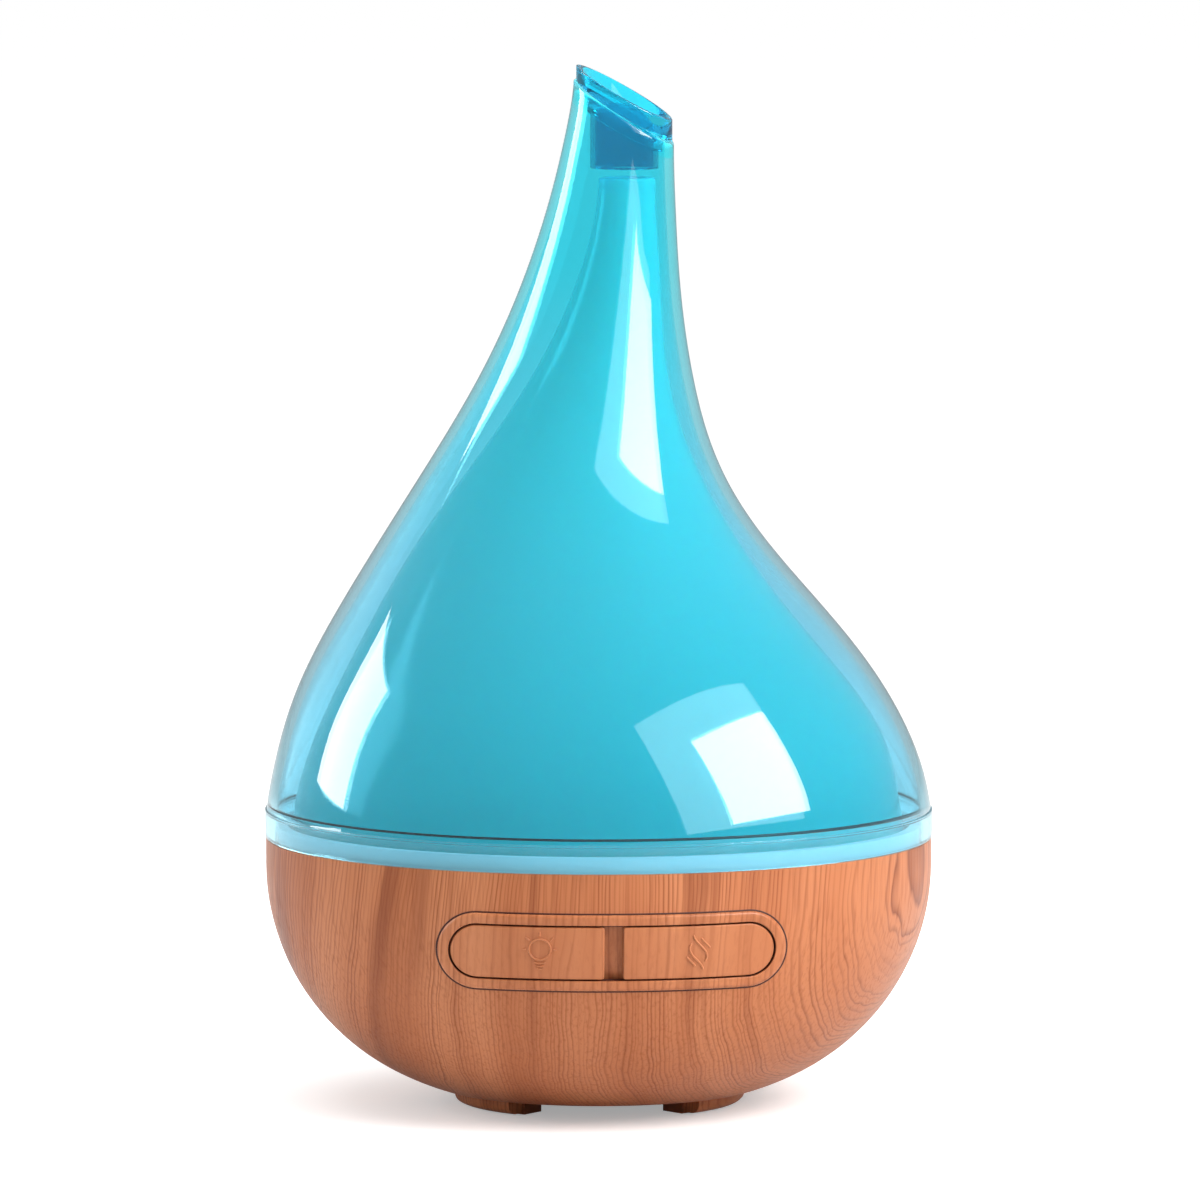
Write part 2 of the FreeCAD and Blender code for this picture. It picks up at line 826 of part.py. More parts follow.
def fan():
    """The small axial fan over the intake, with its bearing, screws and the duct to the chimney."""
    half = "fan_side / 2"
    frame = cut(
        "fan_case",
        box("fan_block", ("fan_side", "fan_side", "fan_height"), (f"-{half}", f"-{half}", FLOOR)),
        [rod("fan_bore_hole", "fan_bore", "fan_height", (0, 0, FLOOR))],
    )
    plate = rod("fan_plate", "hub_radius", "fan_floor", (0, 0, FLOOR))
    tower = rod("fan_tower", "bearing_radius + 0.8", "fan_height - 4", (0, 0, FLOOR))
    struts = []
    for index in range(3):
        turn = 120 * index
        strut = doc.addObject("Part::Box", f"strut_{index}")
        bind(strut, Length="fan_bore + 0.5", Width="strut_width", Height="fan_floor")
        place(strut, *polar("strut_width / 2", f"{turn} - 90"), FLOOR, turn=turn)
        struts.append(strut)
    holes = [rod("bearing_seat", "bearing_radius", "fan_height", (0, 0, FLOOR))]
    holes += [
        rod(f"fan_pass_{index}", "small_screw", "fan_height", (*spot, FLOOR))
        for index, spot in enumerate(FAN_SPOTS)
    ]
    node(cut("fan_body", fuse("fan_whole", [frame, plate, tower, *struts]), holes), "fan_frame")
    bearing = cut(
        "bearing",
        rod("bearing_sleeve", "bearing_radius", "fan_height - 4", (0, 0, FLOOR)),
        [rod("bearing_bore", "shaft_radius + shaft_play", "fan_height - 4", (0, 0, FLOOR))],
    )
    node(bearing, "fan_bearing")
    node(rod("shaft", "shaft_radius", "fan_height - 2", (0, 0, f"{FLOOR} + 1.6")), "fan_shaft")
    fan_rotor()
    seat = f"{FLOOR} + fan_height + duct_flange"
    reach = "fan_height + duct_flange + fan_screw_bite"
    screws = [driven(f"fan_screw_{index}", spot, seat, reach) for index, spot in enumerate(FAN_SPOTS)]
    node(group("fan_screw_group", screws), "fan_screws")
    fan_duct()


def fan_rotor():
    """The hub cup on the shaft with seven pitched blades."""
    low = f"{FLOOR} + fan_floor + 0.6"
    tall = "(fan_height - fan_floor - 1)"
    cup = cut(
        "hub_cup",
        rod("hub", "hub_radius", tall, (0, 0, low)),
        [
            rod("hub_room", "hub_radius - hub_wall", f"{tall} - 1.6", (0, 0, low)),
            rod("hub_hole", "shaft_radius", "fan_height", (0, 0, low)),
        ],
    )
    blades = []
    for index in range(7):
        blade = doc.addObject("Part::Box", f"blade_{index}")
        bind(
            blade,
            Length="blade_reach - hub_radius + hub_wall / 2",
            Width="blade_chord",
            Height="blade_thick",
        )
        turn = Rotation(Vector(0, 0, 1), 360 / 7 * index)
        pitch = Rotation(Vector(1, 0, 0), number("blade_pitch"))
        reach = number("hub_radius - hub_wall / 2")
        drop = number("blade_chord / 2")
        start = Vector(reach, 0, number(f"{low} + {tall} / 2")) + pitch.multVec(Vector(0, -drop, 0))
        blade.Placement = FreeCAD.Placement(turn.multVec(start), turn.multiply(pitch))
        blades.append(blade)
    node(fuse("rotor", [cup, *blades]), "fan_rotor")


def fan_duct():
    """A leaning tube from the fan's face up to the tank's chimney, with a square flange."""
    low = f"{FLOOR} + fan_height"
    half = "fan_side / 2"
    rings = {}
    for name, wall in (("outer", "0"), ("inner", "duct_wall")):
        first = doc.addObject("Part::Circle", f"duct_{name}_low")
        bind(first, Radius=f"fan_bore + 0.4 - {wall}")
        place(first, 0, 0, low)
        last = doc.addObject("Part::Circle", f"duct_{name}_high")
        bind(last, Radius=f"chimney_radius - {wall}")
        place(last, *CHIMNEY, "tank_underside - 0.1")
        rings[name] = doc.addObject("Part::Loft", f"duct_{name}")
        rings[name].Sections = [first, last]
        rings[name].Solid = True
    flange = box("duct_plate", ("fan_side", "fan_side", "duct_flange"), (f"-{half}", f"-{half}", low))
    holes = [rings["inner"]]
    holes += [
        rod(f"duct_pass_{index}", "small_screw", "duct_flange", (*spot, low))
        for index, spot in enumerate(FAN_SPOTS)
    ]
    holes += [
        rod(f"duct_room_{index}", "small_head + 0.3", 6, (*spot, f"{low} + duct_flange"))
        for index, spot in enumerate(FAN_SPOTS)
    ]
    node(cut("duct", fuse("duct_body", [rings["outer"], flange]), holes), "fan_duct")


def power_socket():
    """The low-voltage socket behind the bowl's rear well, with its centre pin."""
    housing = box(
        "jack_case",
        ("jack_width", "jack_long", "jack_tall"),
        (
            "-jack_width / 2",
            "jack_face - jack_nose_long - jack_long",
            "jack_height - jack_tall / 2",
        ),
    )
    start = (0, "jack_face - jack_nose_long", "jack_height")
    nose = rod("jack_front", "jack_nose", "jack_nose_long", start, "Y")
    start = (0, "jack_face - jack_depth", "jack_height")
    bore = rod("jack_socket", "jack_bore", "jack_depth", start, "Y")
    node(cut("jack", fuse("jack_body", [housing, nose]), [bore]), "dc_jack")
    node(rod("jack_contact", "jack_pin", "jack_depth - 0.5", start, "Y"), "dc_jack_pin")


def key_skin(name, outer, inner):
    """The layer between two offsets of the bowl's outer form."""
    return cut(name, bowl_solid(f"{name}_outer", outer), [bowl_solid(f"{name}_inner", inner)])


def button_bezel(core):
    """The raised frame round the two keys, with the floor behind them and posts for the key board."""
    flange = shared(
        "bezel_flange",
        stadium("bezel_outline", "bezel_half", "bezel_tall"),
        cut("bezel_layer", bowl_solid("bezel_front", "bezel_proud"), [core]),
    )
    plug = shared(
        "bezel_plug",
        stadium("plug_outline", "bezel_half - panel_border", "bezel_tall - 2 * panel_border"),
        key_skin("plug_layer", "(bezel_proud / 2)", "(-bezel_back)"),
    )
    posts = [
        rod(
            f"key_post_{side}",
            "key_post",
            "bowl_radius - bezel_back - key_board_face",
            (f"{side} * key_post_spread", "bezel_back - bowl_radius", "panel_height"),
            "Y",
        )
        for side in (-1, 1)
    ]
    recess = cut(
        "key_recess",
        stadium("recess_outline", "keys_half + key_gap", "keys_tall + 2 * key_gap"),
        [bowl_solid("recess_floor", "(-key_floor)", 70)],
    )
    holes = [recess]
    for side in (-1, 1):
        start = (f"{side} * key_spread", -80, "panel_height")
        holes.append(rod(f"stem_pass_{side}", "stem_hole", 15, start, "Y"))
        start = (f"{side} * key_post_spread", "-key_board_face - 5", "panel_height")
        holes.append(rod(f"key_post_hole_{side}", "small_screw", 5, start, "Y"))
    whole = fuse("bezel_whole", [flange, plug, *posts])
    node(cut("bezel", whole, holes), "button_bezel")


def key(name, side):
    """One key: half of the long oval, curved like the bowl, with a stem to its switch."""
    radius = "(keys_tall / 2)"
    length = f"(keys_half - key_split / 2 - {radius})"
    corner_x = "key_split / 2" if side > 0 else f"-(key_split / 2 + {length})"
    outline = fuse(
        f"{name}_outline",
        [
            box(f"{name}_block", (length, 90, "keys_tall"), (corner_x, -90, f"panel_height - {radius}")),
            rod(f"{name}_round", radius, 90, (f"{side} * (keys_half - {radius})", -90, "panel_height"), "Y"),
        ],
    )
    layer = key_skin(f"{name}_layer", "key_proud", "(key_proud - key_thick)")
    cap = shared(f"{name}_cap", outline, layer)
    start = (f"{side} * key_spread", -71, "panel_height")
    stem = rod(f"{name}_stem", "stem_radius", "71 - stem_tip", start, "Y")
    node(fuse(f"{name}_key", [cap, stem]), f"{name}_button")


def key_switch(name, side):
    """One push switch on the key board, with the plunger that the key's stem presses."""
    half = "switch_side / 2"
    case = box(
        f"{name}_case",
        ("switch_side", "switch_front - key_board_face", "switch_side"),
        (f"{side} * key_spread - {half}", "-switch_front", f"panel_height - {half}"),
    )
    start = (f"{side} * key_spread", "-switch_front", "panel_height")
    depth = "switch_front - plunger_back + plunger_room"
    room = rod(f"{name}_room", "plunger_radius + plunger_play", depth, start, "Y")
    node(cut(f"{name}_switch_body", case, [room]), f"{name}_switch")
    start = (f"{side} * key_spread", "-plunger_tip", "panel_height")
    node(
        rod(f"{name}_plunger_rod", "plunger_radius", "plunger_tip - plunger_back", start, "Y"),
        f"{name}_plunger",
    )


def key_board():
    """The upright board behind the keys, with its two switches and two screws."""
    board = box(
        "key_plate",
        ("2 * key_board_half", "board_thick", "key_board_tall"),
        ("-key_board_half", "-key_board_face", "panel_height - key_board_tall / 2"),
    )
    passes = []
    screws = []
    for side in (-1, 1):
        x = f"{side} * key_post_spread"
        start = (x, "-key_board_face", "panel_height")
        passes.append(rod(f"key_board_pass_{side}", "small_screw", "board_thick", start, "Y"))
        seat = "board_thick - key_board_face"
        start = (x, f"{seat} - key_screw_reach", "panel_height")
        shank = rod(f"key_screw_shank_{side}", "small_screw", "key_screw_reach + 0.8", start, "Y")
        start = (x, seat, "panel_height")
        head = rod(f"key_screw_head_{side}", "small_head", "small_head_height", start, "Y")
        screws.append(fuse(f"key_screw_{side}", [shank, head]))
    node(cut("key_board_drilled", board, passes), "button_board")
    node(group("key_screw_group", screws), "button_board_screws")
    for name, side in SIDES.items():
        key_switch(name, side)
        key(name, side)


def slanted_block(name, x, z, tilt, above=True):
    """A large block on one side of a plane that falls towards +X, to trim the covers with."""
    block = doc.addObject("Part::Box", name)
    bind(block, Length="2 * trim", Width="2 * trim", Height="2 * trim")
    drop = "0" if above else "2 * trim"
    return place(
        block,
        f"{x} - trim * cos({tilt}) - ({drop}) * sin({tilt})",
        "-trim",
        f"{z} + trim * sin({tilt}) - ({drop}) * cos({tilt})",
        turn=tilt,
        axis=(0, 1, 0),
    )


def turned(thing, label):
    """A finished cover piece, turned with the others about Z."""
    return node(place(thing, turn="cover_turn"), label)


def outer_cover():
    """The clear teardrop: a straight band on the bowl, then a skin drawn up to a slanted mouth."""
    band = revolved(
        "band",
        [
            ("band_radius - band_wall", "band_low"),
            ("band_radius - band_bevel", "band_low"),
            ("band_radius", "band_low + band_bevel"),
            ("band_radius", "band_top - 0.3"),
            ("cover_radius_0", "band_top"),
            ("cover_radius_0 - 3", "band_top"),
            ("cover_radius_0 - 3", "band_ledge"),
            ("band_radius - band_wall", "band_ledge"),
        ],
    )
    count = len(COVER_SECTIONS)
    outside = lofted("cover_outer", "cover", count, "0")
    inside = lofted("cover_inner", "cover", count, "cover_wall")
    skin = cut("cover_skin", outside, [inside])
    whole = fuse("cover_whole", [band, skin])
    mouth = slanted_block("mouth_trim", "mouth_x", "mouth_z", "mouth_tilt")
    turned(cut("cover", whole, [mouth]), "outer_cover")


def inner_cover():
    """The milky cone that gathers the mist, with an inturned foot that stands on the tank's shoulder."""
    foot = revolved(
        "cone_foot",
        [
            ("cone_foot_radius - cone_wall", "cone_foot"),
            ("cone_foot_radius", "cone_foot", "4", 1),
            ("cone_radius", "cone_start"),
            ("cone_radius - cone_wall", "cone_start"),
        ],
    )
    count = len(CONE_SECTIONS)
    outside = lofted("cone_outer", "cone", count, "0")
    inside = lofted("cone_inner", "cone", count, "cone_wall")
    skin = cut("cone_skin", outside, [inside])
    turned(fuse("cone", [foot, skin]), "inner_cover")


def spout():
    """The clear nozzle: a slanted lip on the cover's mouth, a skirt inside the neck and a straight tube."""
    column = rod("lip_column", "lip_radius", 60, ("spout_x", 0, 190))
    above_mouth = slanted_block("lip_low_plane", "mouth_x", "mouth_z + lip_gap", "mouth_tilt")
    skirt_column = rod("skirt_column", "skirt_radius", 60, ("spout_x", 0, 190))
    above_skirt = slanted_block("skirt_plane", "mouth_x", "skirt_z", "lip_tilt")
    tube = rod("tube_column", "tube_radius", 30, ("spout_x", 0, "tube_low"))
    rounded = doc.addObject("Part::Fillet", "tube_rounded")
    rounded.Base = tube
    doc.recompute()
    low_edge = min(
        (index for index, edge in enumerate(tube.Shape.Edges, 1) if edge.Closed),
        key=lambda index: tube.Shape.Edges[index - 1].CenterOfMass.z,
    )
    rounded.Edges = [(low_edge, number("tube_round"), number("tube_round"))]
    body = fuse(
        "spout_body",
        [
            shared("lip", column, above_mouth),
            shared("skirt", skirt_column, above_skirt),
            rounded,
        ],
    )
    top = slanted_block("lip_top_plane", "mouth_x", "lip_z", "lip_tilt")
    bore = rod("tube_hole", "tube_bore", 60, ("spout_x", 0, "tube_low - 5"))
    turned(cut("nozzle", body, [top, bore, funnel()]), "spout")


def funnel():
    """The slanted funnel inside the lip, from an oval in the lip's plane down to the tube's bore."""
    oval = doc.addObject("Part::Ellipse", "funnel_top")
    bind(oval, MajorRadius="funnel_radius / cos(lip_tilt) + 0.6", MinorRadius="funnel_radius + 0.4")
    place(
        oval,
        "spout_x",
        0,
        "lip_z + 1 - (spout_x - mouth_x) * tan(lip_tilt)",
        turn="lip_tilt",
        axis=(0, 1, 0),
    )
    ring = doc.addObject("Part::Ellipse", "funnel_low")
    bind(ring, MajorRadius="tube_bore / cos(lip_tilt)", MinorRadius="tube_bore - 0.01")
    place(
        ring,
        "spout_x",
        0,
        "lip_z - funnel_depth - (spout_x - mouth_x) * tan(lip_tilt)",
        turn="lip_tilt",
        axis=(0, 1, 0),
    )
    cone = doc.addObject("Part::Loft", "funnel")
    cone.Sections = [ring, oval]
    cone.Solid = True
    return cone


def check_document():
    """Stops when any object failed or any sub-part is empty or unsound."""
    faults = [thing.Name for thing in doc.Objects if {"Invalid", "Error"} & set(thing.State)]
    for thing in nodes:
        if thing.Shape.isNull() or not thing.Shape.isValid() or not thing.Shape.Solids:
            faults.append(thing.Label)
    if faults:
        raise RuntimeError("unsound: " + ", ".join(faults))


def export_nodes():
    """One file per sub-part, named by its label."""
    os.makedirs("parts", exist_ok=True)
    for thing in nodes:
        thing.Shape.exportStep(f"parts/{thing.Label}.step")


def main():
    fill_sheet()
    core = bowl_solid("bowl_core", "0")
    base_shell(core)
    foot_pads()
    bottom_plate()
    water_tank()
    tank_screws()
    transducer()
    light_ring()
    control_board()
    fan()
    power_socket()
    button_bezel(core)
    key_board()
    inner_cover()
    outer_cover()
    spout()
    doc.recompute()
    check_document()
    export_nodes()


main()
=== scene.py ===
import json
import math
import bmesh
import bpy
import numpy as np
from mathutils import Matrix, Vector


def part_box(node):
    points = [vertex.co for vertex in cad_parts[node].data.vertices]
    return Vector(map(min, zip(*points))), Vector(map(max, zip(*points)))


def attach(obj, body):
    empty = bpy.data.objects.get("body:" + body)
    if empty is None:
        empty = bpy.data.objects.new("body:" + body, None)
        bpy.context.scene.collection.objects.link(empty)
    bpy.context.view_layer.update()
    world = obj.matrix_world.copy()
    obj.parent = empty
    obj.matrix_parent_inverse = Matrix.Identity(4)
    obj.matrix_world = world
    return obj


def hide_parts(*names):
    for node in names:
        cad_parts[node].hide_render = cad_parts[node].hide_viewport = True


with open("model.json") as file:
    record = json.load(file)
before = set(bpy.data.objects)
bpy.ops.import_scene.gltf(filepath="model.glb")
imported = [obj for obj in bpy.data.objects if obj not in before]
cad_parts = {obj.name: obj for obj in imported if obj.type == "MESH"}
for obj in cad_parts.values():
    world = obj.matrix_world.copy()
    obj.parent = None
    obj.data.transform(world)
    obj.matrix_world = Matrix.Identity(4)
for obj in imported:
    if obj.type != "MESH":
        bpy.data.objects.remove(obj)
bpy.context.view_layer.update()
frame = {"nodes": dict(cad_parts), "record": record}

MM = 0.001
COLUMNS = 288  # points round a full turn
OVAL_COLUMNS = 360
SKIRT_DROP = 8.6 * MM  # from the spout's rim down to the edge of its skirt
CLEAR_IOR = 1.49
WHITE = (1.0, 1.0, 1.0)

VIEW_TURN = -2.6  # degrees round the upright axis
CAMERA_DISTANCE = 2.3
CAMERA_HEIGHT = 0.332
AIM_SIDE = 0.0003
AIM_HEIGHT = 0.11385
LENS = 307.2
SENSOR = 36.0
LIT_HEIGHT = 0.1  # the point on the axis that the soft boxes face


# ---------------------------------------------------------------- reading the frame


def cad_mesh(node):
    """A CAD node's vertices and its edges as index pairs."""
    mesh = frame["nodes"][node].data
    spots = np.empty(len(mesh.vertices) * 3)
    mesh.vertices.foreach_get("co", spots)
    edges = np.empty(len(mesh.edges) * 2, dtype=int)
    mesh.edges.foreach_get("vertices", edges)
    return spots.reshape(-1, 3), edges.reshape(-1, 2)


def level_cut(mesh, height):
    """The points where a mesh's edges cross a level plane, by straight interpolation along each edge."""
    spots, edges = mesh
    low, high = spots[edges[:, 0]], spots[edges[:, 1]]
    crossing = (low[:, 2] - height) * (high[:, 2] - height) < 0
    low, high = low[crossing], high[crossing]
    share = (height - low[:, 2:]) / (high[:, 2:] - low[:, 2:])
    return (low + (high - low) * share)[:, :2]


def circle_through(points):
    """Least-squares circle: x^2 + y^2 = 2 a x + 2 b y + c gives the centre (a, b) and the radius."""
    table = np.column_stack([2 * points, np.ones(len(points))])
    a, b, c = np.linalg.lstsq(table, (points**2).sum(1), rcond=None)[0]
    return a, b, math.sqrt(c + a * a + b * b)


def two_circles(points):
    """The outer and inner wall's circles in one level cut of a shell."""
    a, b, middle = circle_through(points)
    away = np.hypot(points[:, 0] - a, points[:, 1] - b)
    return circle_through(points[away > middle]), circle_through(points[away <= middle])


def smooth_walls(node, low, high, count=70, degree=11):
    """Each wall's centre x, centre y and radius as smooth functions of height, by Chebyshev fits."""
    mesh = cad_mesh(node)
    heights = np.linspace(low, high, count)
    found = np.array([two_circles(level_cut(mesh, height)) for height in heights])
    fit = np.polynomial.Chebyshev.fit
    return [[fit(heights, found[:, wall, item], degree) for item in range(3)] for wall in range(2)]


def rim_plane(node, above, centre):
    """A slanted rim's height as (at the axis, per metre of x, per metre of y), from its top vertices.

    The highest vertex in each of 36 sectors is kept, and a least-squares plane goes through them.
    """
    spots = cad_mesh(node)[0]
    spots = spots[spots[:, 2] > above]
    away = spots[:, :2] - centre
    share = (np.arctan2(away[:, 1], away[:, 0]) + math.pi) / (2 * math.pi)
    sector = np.floor(share * 36).astype(int)
    tops = np.array([max(spots[sector == k], key=lambda spot: spot[2]) for k in np.unique(sector)])
    table = np.column_stack([np.ones(len(tops)), tops[:, :2] - centre])
    return np.linalg.lstsq(table, tops[:, 2], rcond=None)[0]


# ---------------------------------------------------------------- making pieces


def grid_faces(rows):
    """Joins a grid of points (rows, columns, 3), closed both ways, into quads that face outwards.

    The sign of the volume that the quads enclose says which way they face.
    """
    count, across = rows.shape[:2]
    r, c = np.meshgrid(np.arange(count), np.arange(across), indexing="ij")
    r2, c2 = (r + 1) % count, (c + 1) % across
    faces = np.stack([r * across + c, r * across + c2, r2 * across + c2, r2 * across + c], -1).reshape(-1, 4)
    spots = rows.reshape(-1, 3) - rows.reshape(-1, 3).mean(0)
    one, two, three, four = (spots[faces[:, k]] for k in range(4))
    bulk = (np.cross(one, two) * three).sum() + (np.cross(one, three) * four).sum()
    return faces if bulk > 0 else faces[:, ::-1]


def grid_piece(name, grids, body, material, replaces=()):
    """A piece made of one or more closed grids, with the points that coincide at poles and ends merged."""
    grids = [np.asarray(rows, float) for rows in grids]
    starts = np.cumsum([0] + [rows.shape[0] * rows.shape[1] for rows in grids])
    faces = np.concatenate([grid_faces(rows) + start for rows, start in zip(grids, starts)])
    mesh = bpy.data.meshes.new(name)
    mesh.from_pydata(np.concatenate([rows.reshape(-1, 3) for rows in grids]), [], faces.tolist())
    mesh.polygons.foreach_set("use_smooth", np.ones(len(faces), dtype=bool))
    merge_doubles(mesh)
    mesh.materials.append(material)
    piece = bpy.data.objects.new(name, mesh)
    bpy.context.scene.collection.objects.link(piece)
    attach(piece, body)
    if replaces:
        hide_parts(*replaces)


def merge_doubles(mesh, distance=1e-7):
    """Joins a mesh's doubled points, such as the ones at a pole."""
    work = bmesh.new()
    work.from_mesh(mesh)
    bmesh.ops.remove_doubles(work, verts=work.verts, dist=distance)
    bmesh.ops.dissolve_degenerate(work, edges=work.edges, dist=distance)
    work.to_mesh(mesh)
    work.free()


def turns(count=COLUMNS):
    """Angles round a full turn."""
    return np.linspace(0, 2 * math.pi, count, endpoint=False)


def wall_ring(wall, heights, inset=0.0):
    """Points of a wall: centre(z) + (radius(z) - inset) * (cos, sin), at one height per angle."""
    angle = turns()
    radius = wall[2](heights) - inset
    return np.stack(
        [wall[0](heights) + radius * np.cos(angle), wall[1](heights) + radius * np.sin(angle), heights], -1
    )


def level_ring(radius, height):
    """A level circle about the upright axis."""
    angle = turns()
    return np.stack([radius * np.cos(angle), radius * np.sin(angle), np.full(COLUMNS, height)], -1)


def slanted_ring(radius, plane, centre):
    """A circle about an upright axis, dropped onto a slanted plane through that axis."""
    angle = turns()
    x, y = radius * np.cos(angle), radius * np.sin(angle)
    return np.stack([centre[0] + x, centre[1] + y, plane[0] + plane[1] * x + plane[2] * y], -1)


def meeting_height(wall, plane, centre):
    """For each angle, the height where a wall meets a slanted plane, by repeated substitution."""
    heights = np.full(COLUMNS, plane[0])
    for _ in range(30):
        ring = wall_ring(wall, heights)
        heights = plane[0] + plane[1] * (ring[:, 0] - centre[0]) + plane[2] * (ring[:, 1] - centre[1])
    return heights


def spout_rim():
    """The spout's axis as (x, y), and the slanted plane of its rim."""
    low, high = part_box("spout")
    centre = np.array([(low.x + high.x) / 2, (low.y + high.y) / 2])
    return centre, rim_plane("spout", high.z - 14 * MM, centre)


def quarter(count=5):
    """(sine, cosine) pairs over a quarter turn, for rounding an edge."""
    angle = np.linspace(0, math.pi / 2, count)
    return list(zip(np.sin(angle), np.cos(angle)))


def softened(points, sizes, steps=6):
    """A profile whose corners become short curves (1-t)^2 a + 2t(1-t) corner + t^2 b.

    Each row is (radius, height, and slopes if any). A row close before and after every curve keeps the
    flat parts' shading flat. The first and last rows are ends, and are left out.
    """
    points = np.asarray(points, float)
    t = np.linspace(0, 1, steps)[:, None]
    rows = []
    for before, corner, after, size in zip(points[:-2], points[1:-1], points[2:], sizes):
        back = (before - corner) / np.hypot(*(before - corner)[:2])
        ahead = (after - corner) / np.hypot(*(after - corner)[:2])
        a, b = corner + back * size, corner + ahead * size
        rows.append(a + back * size * 0.3)
        rows.extend((1 - t) ** 2 * a + 2 * t * (1 - t) * corner + t**2 * b)
        rows.append(b + ahead * size * 0.3)
    return rows


# ---------------------------------------------------------------- shader helpers


class Maker:
    """A material or group under construction: adds nodes and joins them."""

    def __init__(self, tree):
        self.tree = tree
        self.nodes = tree.nodes
        self.links = tree.links

    def add(self, kind, inputs=None, **settings):
        """A node with its settings and inputs; an input given as a socket is linked."""
        node = self.nodes.new(kind)
        for key, value in settings.items():
            setattr(node, key, value)
        for key, value in (inputs or {}).items():
            self.feed(node.inputs[key], value)
        return node

    def feed(self, socket, value):
        """Links a socket's value, or sets a plain one."""
        if isinstance(value, bpy.types.NodeSocket):
            self.links.new(value, socket)
        else:
            socket.default_value = value

    def maths(self, operation, *values):
        """One Math node."""
        node = self.nodes.new("ShaderNodeMath")
        node.operation = operation
        for socket, value in zip(node.inputs, values):
            self.feed(socket, value)
        return node.outputs[0]

    def ramp(self, value, stops):
        """Colours along a ramp, as (place, colour) pairs."""
        node = self.nodes.new("ShaderNodeValToRGB")
        elements = node.color_ramp.elements
        while len(elements) < len(stops):
            elements.new(0.5)
        for element, (place, colour) in zip(elements, stops):
            element.position = place
            element.color = (*colour, 1)
        self.feed(node.inputs[0], value)
        return node.outputs[0]

    def blend(self, share, one, other, mode="MIX"):
        """Two colours mixed by a share."""
        node = self.nodes.new("ShaderNodeMix")
        node.data_type = "RGBA"
        node.blend_type = mode
        self.feed(node.inputs[0], share)
        self.feed(node.inputs[6], one if isinstance(one, bpy.types.NodeSocket) else (*one, 1))
        self.feed(node.inputs[7], other if isinstance(other, bpy.types.NodeSocket) else (*other, 1))
        return node.outputs[2]

    def spread(self, value, low, high, to_low=0.0, to_high=1.0):
        """A value moved from one range to another, clamped."""
        node = self.nodes.new("ShaderNodeMapRange")
        for socket, item in zip(node.inputs, (value, low, high, to_low, to_high)):
            self.feed(socket, item)
        return node.outputs[0]


def new_group(name, inputs, outputs):
    """A shader group with named sockets; returns its maker, its input node and its output node."""
    tree = bpy.data.node_groups.new(name, "ShaderNodeTree")
    for label, value in inputs.items():
        socket = tree.interface.new_socket(label, in_out="INPUT", socket_type="NodeSocketFloat")
        socket.default_value = value
    for label, kind in outputs.items():
        tree.interface.new_socket(label, in_out="OUTPUT", socket_type=f"NodeSocket{kind}")
    maker = Maker(tree)
    return maker, maker.add("NodeGroupInput"), maker.add("NodeGroupOutput")


def new_material(name):
    """A material with a bare Principled shader and its maker."""
    material = bpy.data.materials.new(name)
    material.use_nodes = True
    maker = Maker(material.node_tree)
    shader = maker.nodes["Principled BSDF"]
    return material, maker, shader


def use_group(maker, tree, **inputs):
    """Places a group in a material with its own values."""
    node = maker.add("ShaderNodeGroup", node_tree=tree)
    for label, value in inputs.items():
        maker.feed(node.inputs[label], value)
    return node


def noise(maker, vector, scale, detail=2.0, roughness=0.5):
    """A noise value in 0 to 1."""
    node = maker.add(
        "ShaderNodeTexNoise",
        {"Vector": vector, "Scale": scale, "Detail": detail, "Roughness": roughness},
    )
    return node.outputs["Fac"]


# ---------------------------------------------------------------- shared effects


def handling_group():
    """Faint handling marks: two sizes of noise that lift the roughness, and tiny dents for the height."""
    maker, start, end = new_group(
        "handling_marks",
        {"Size": 60.0, "Base": 0.3, "Swing": 0.1},
        {"Roughness": "Float", "Height": "Float"},
    )
    place = maker.add("ShaderNodeTexCoord").outputs["Object"]
    size, base, swing = (start.outputs[label] for label in ("Size", "Base", "Swing"))
    broad = noise(maker, place, size, 4.0)
    fine = noise(maker, place, maker.maths("MULTIPLY", size, 14.0))
    both = maker.maths("MULTIPLY", maker.maths("ADD", broad, fine), 0.5)
    maker.feed(end.inputs["Roughness"], maker.maths("MULTIPLY_ADD", both, swing, base))
    maker.feed(end.inputs["Height"], fine)
    return maker.tree


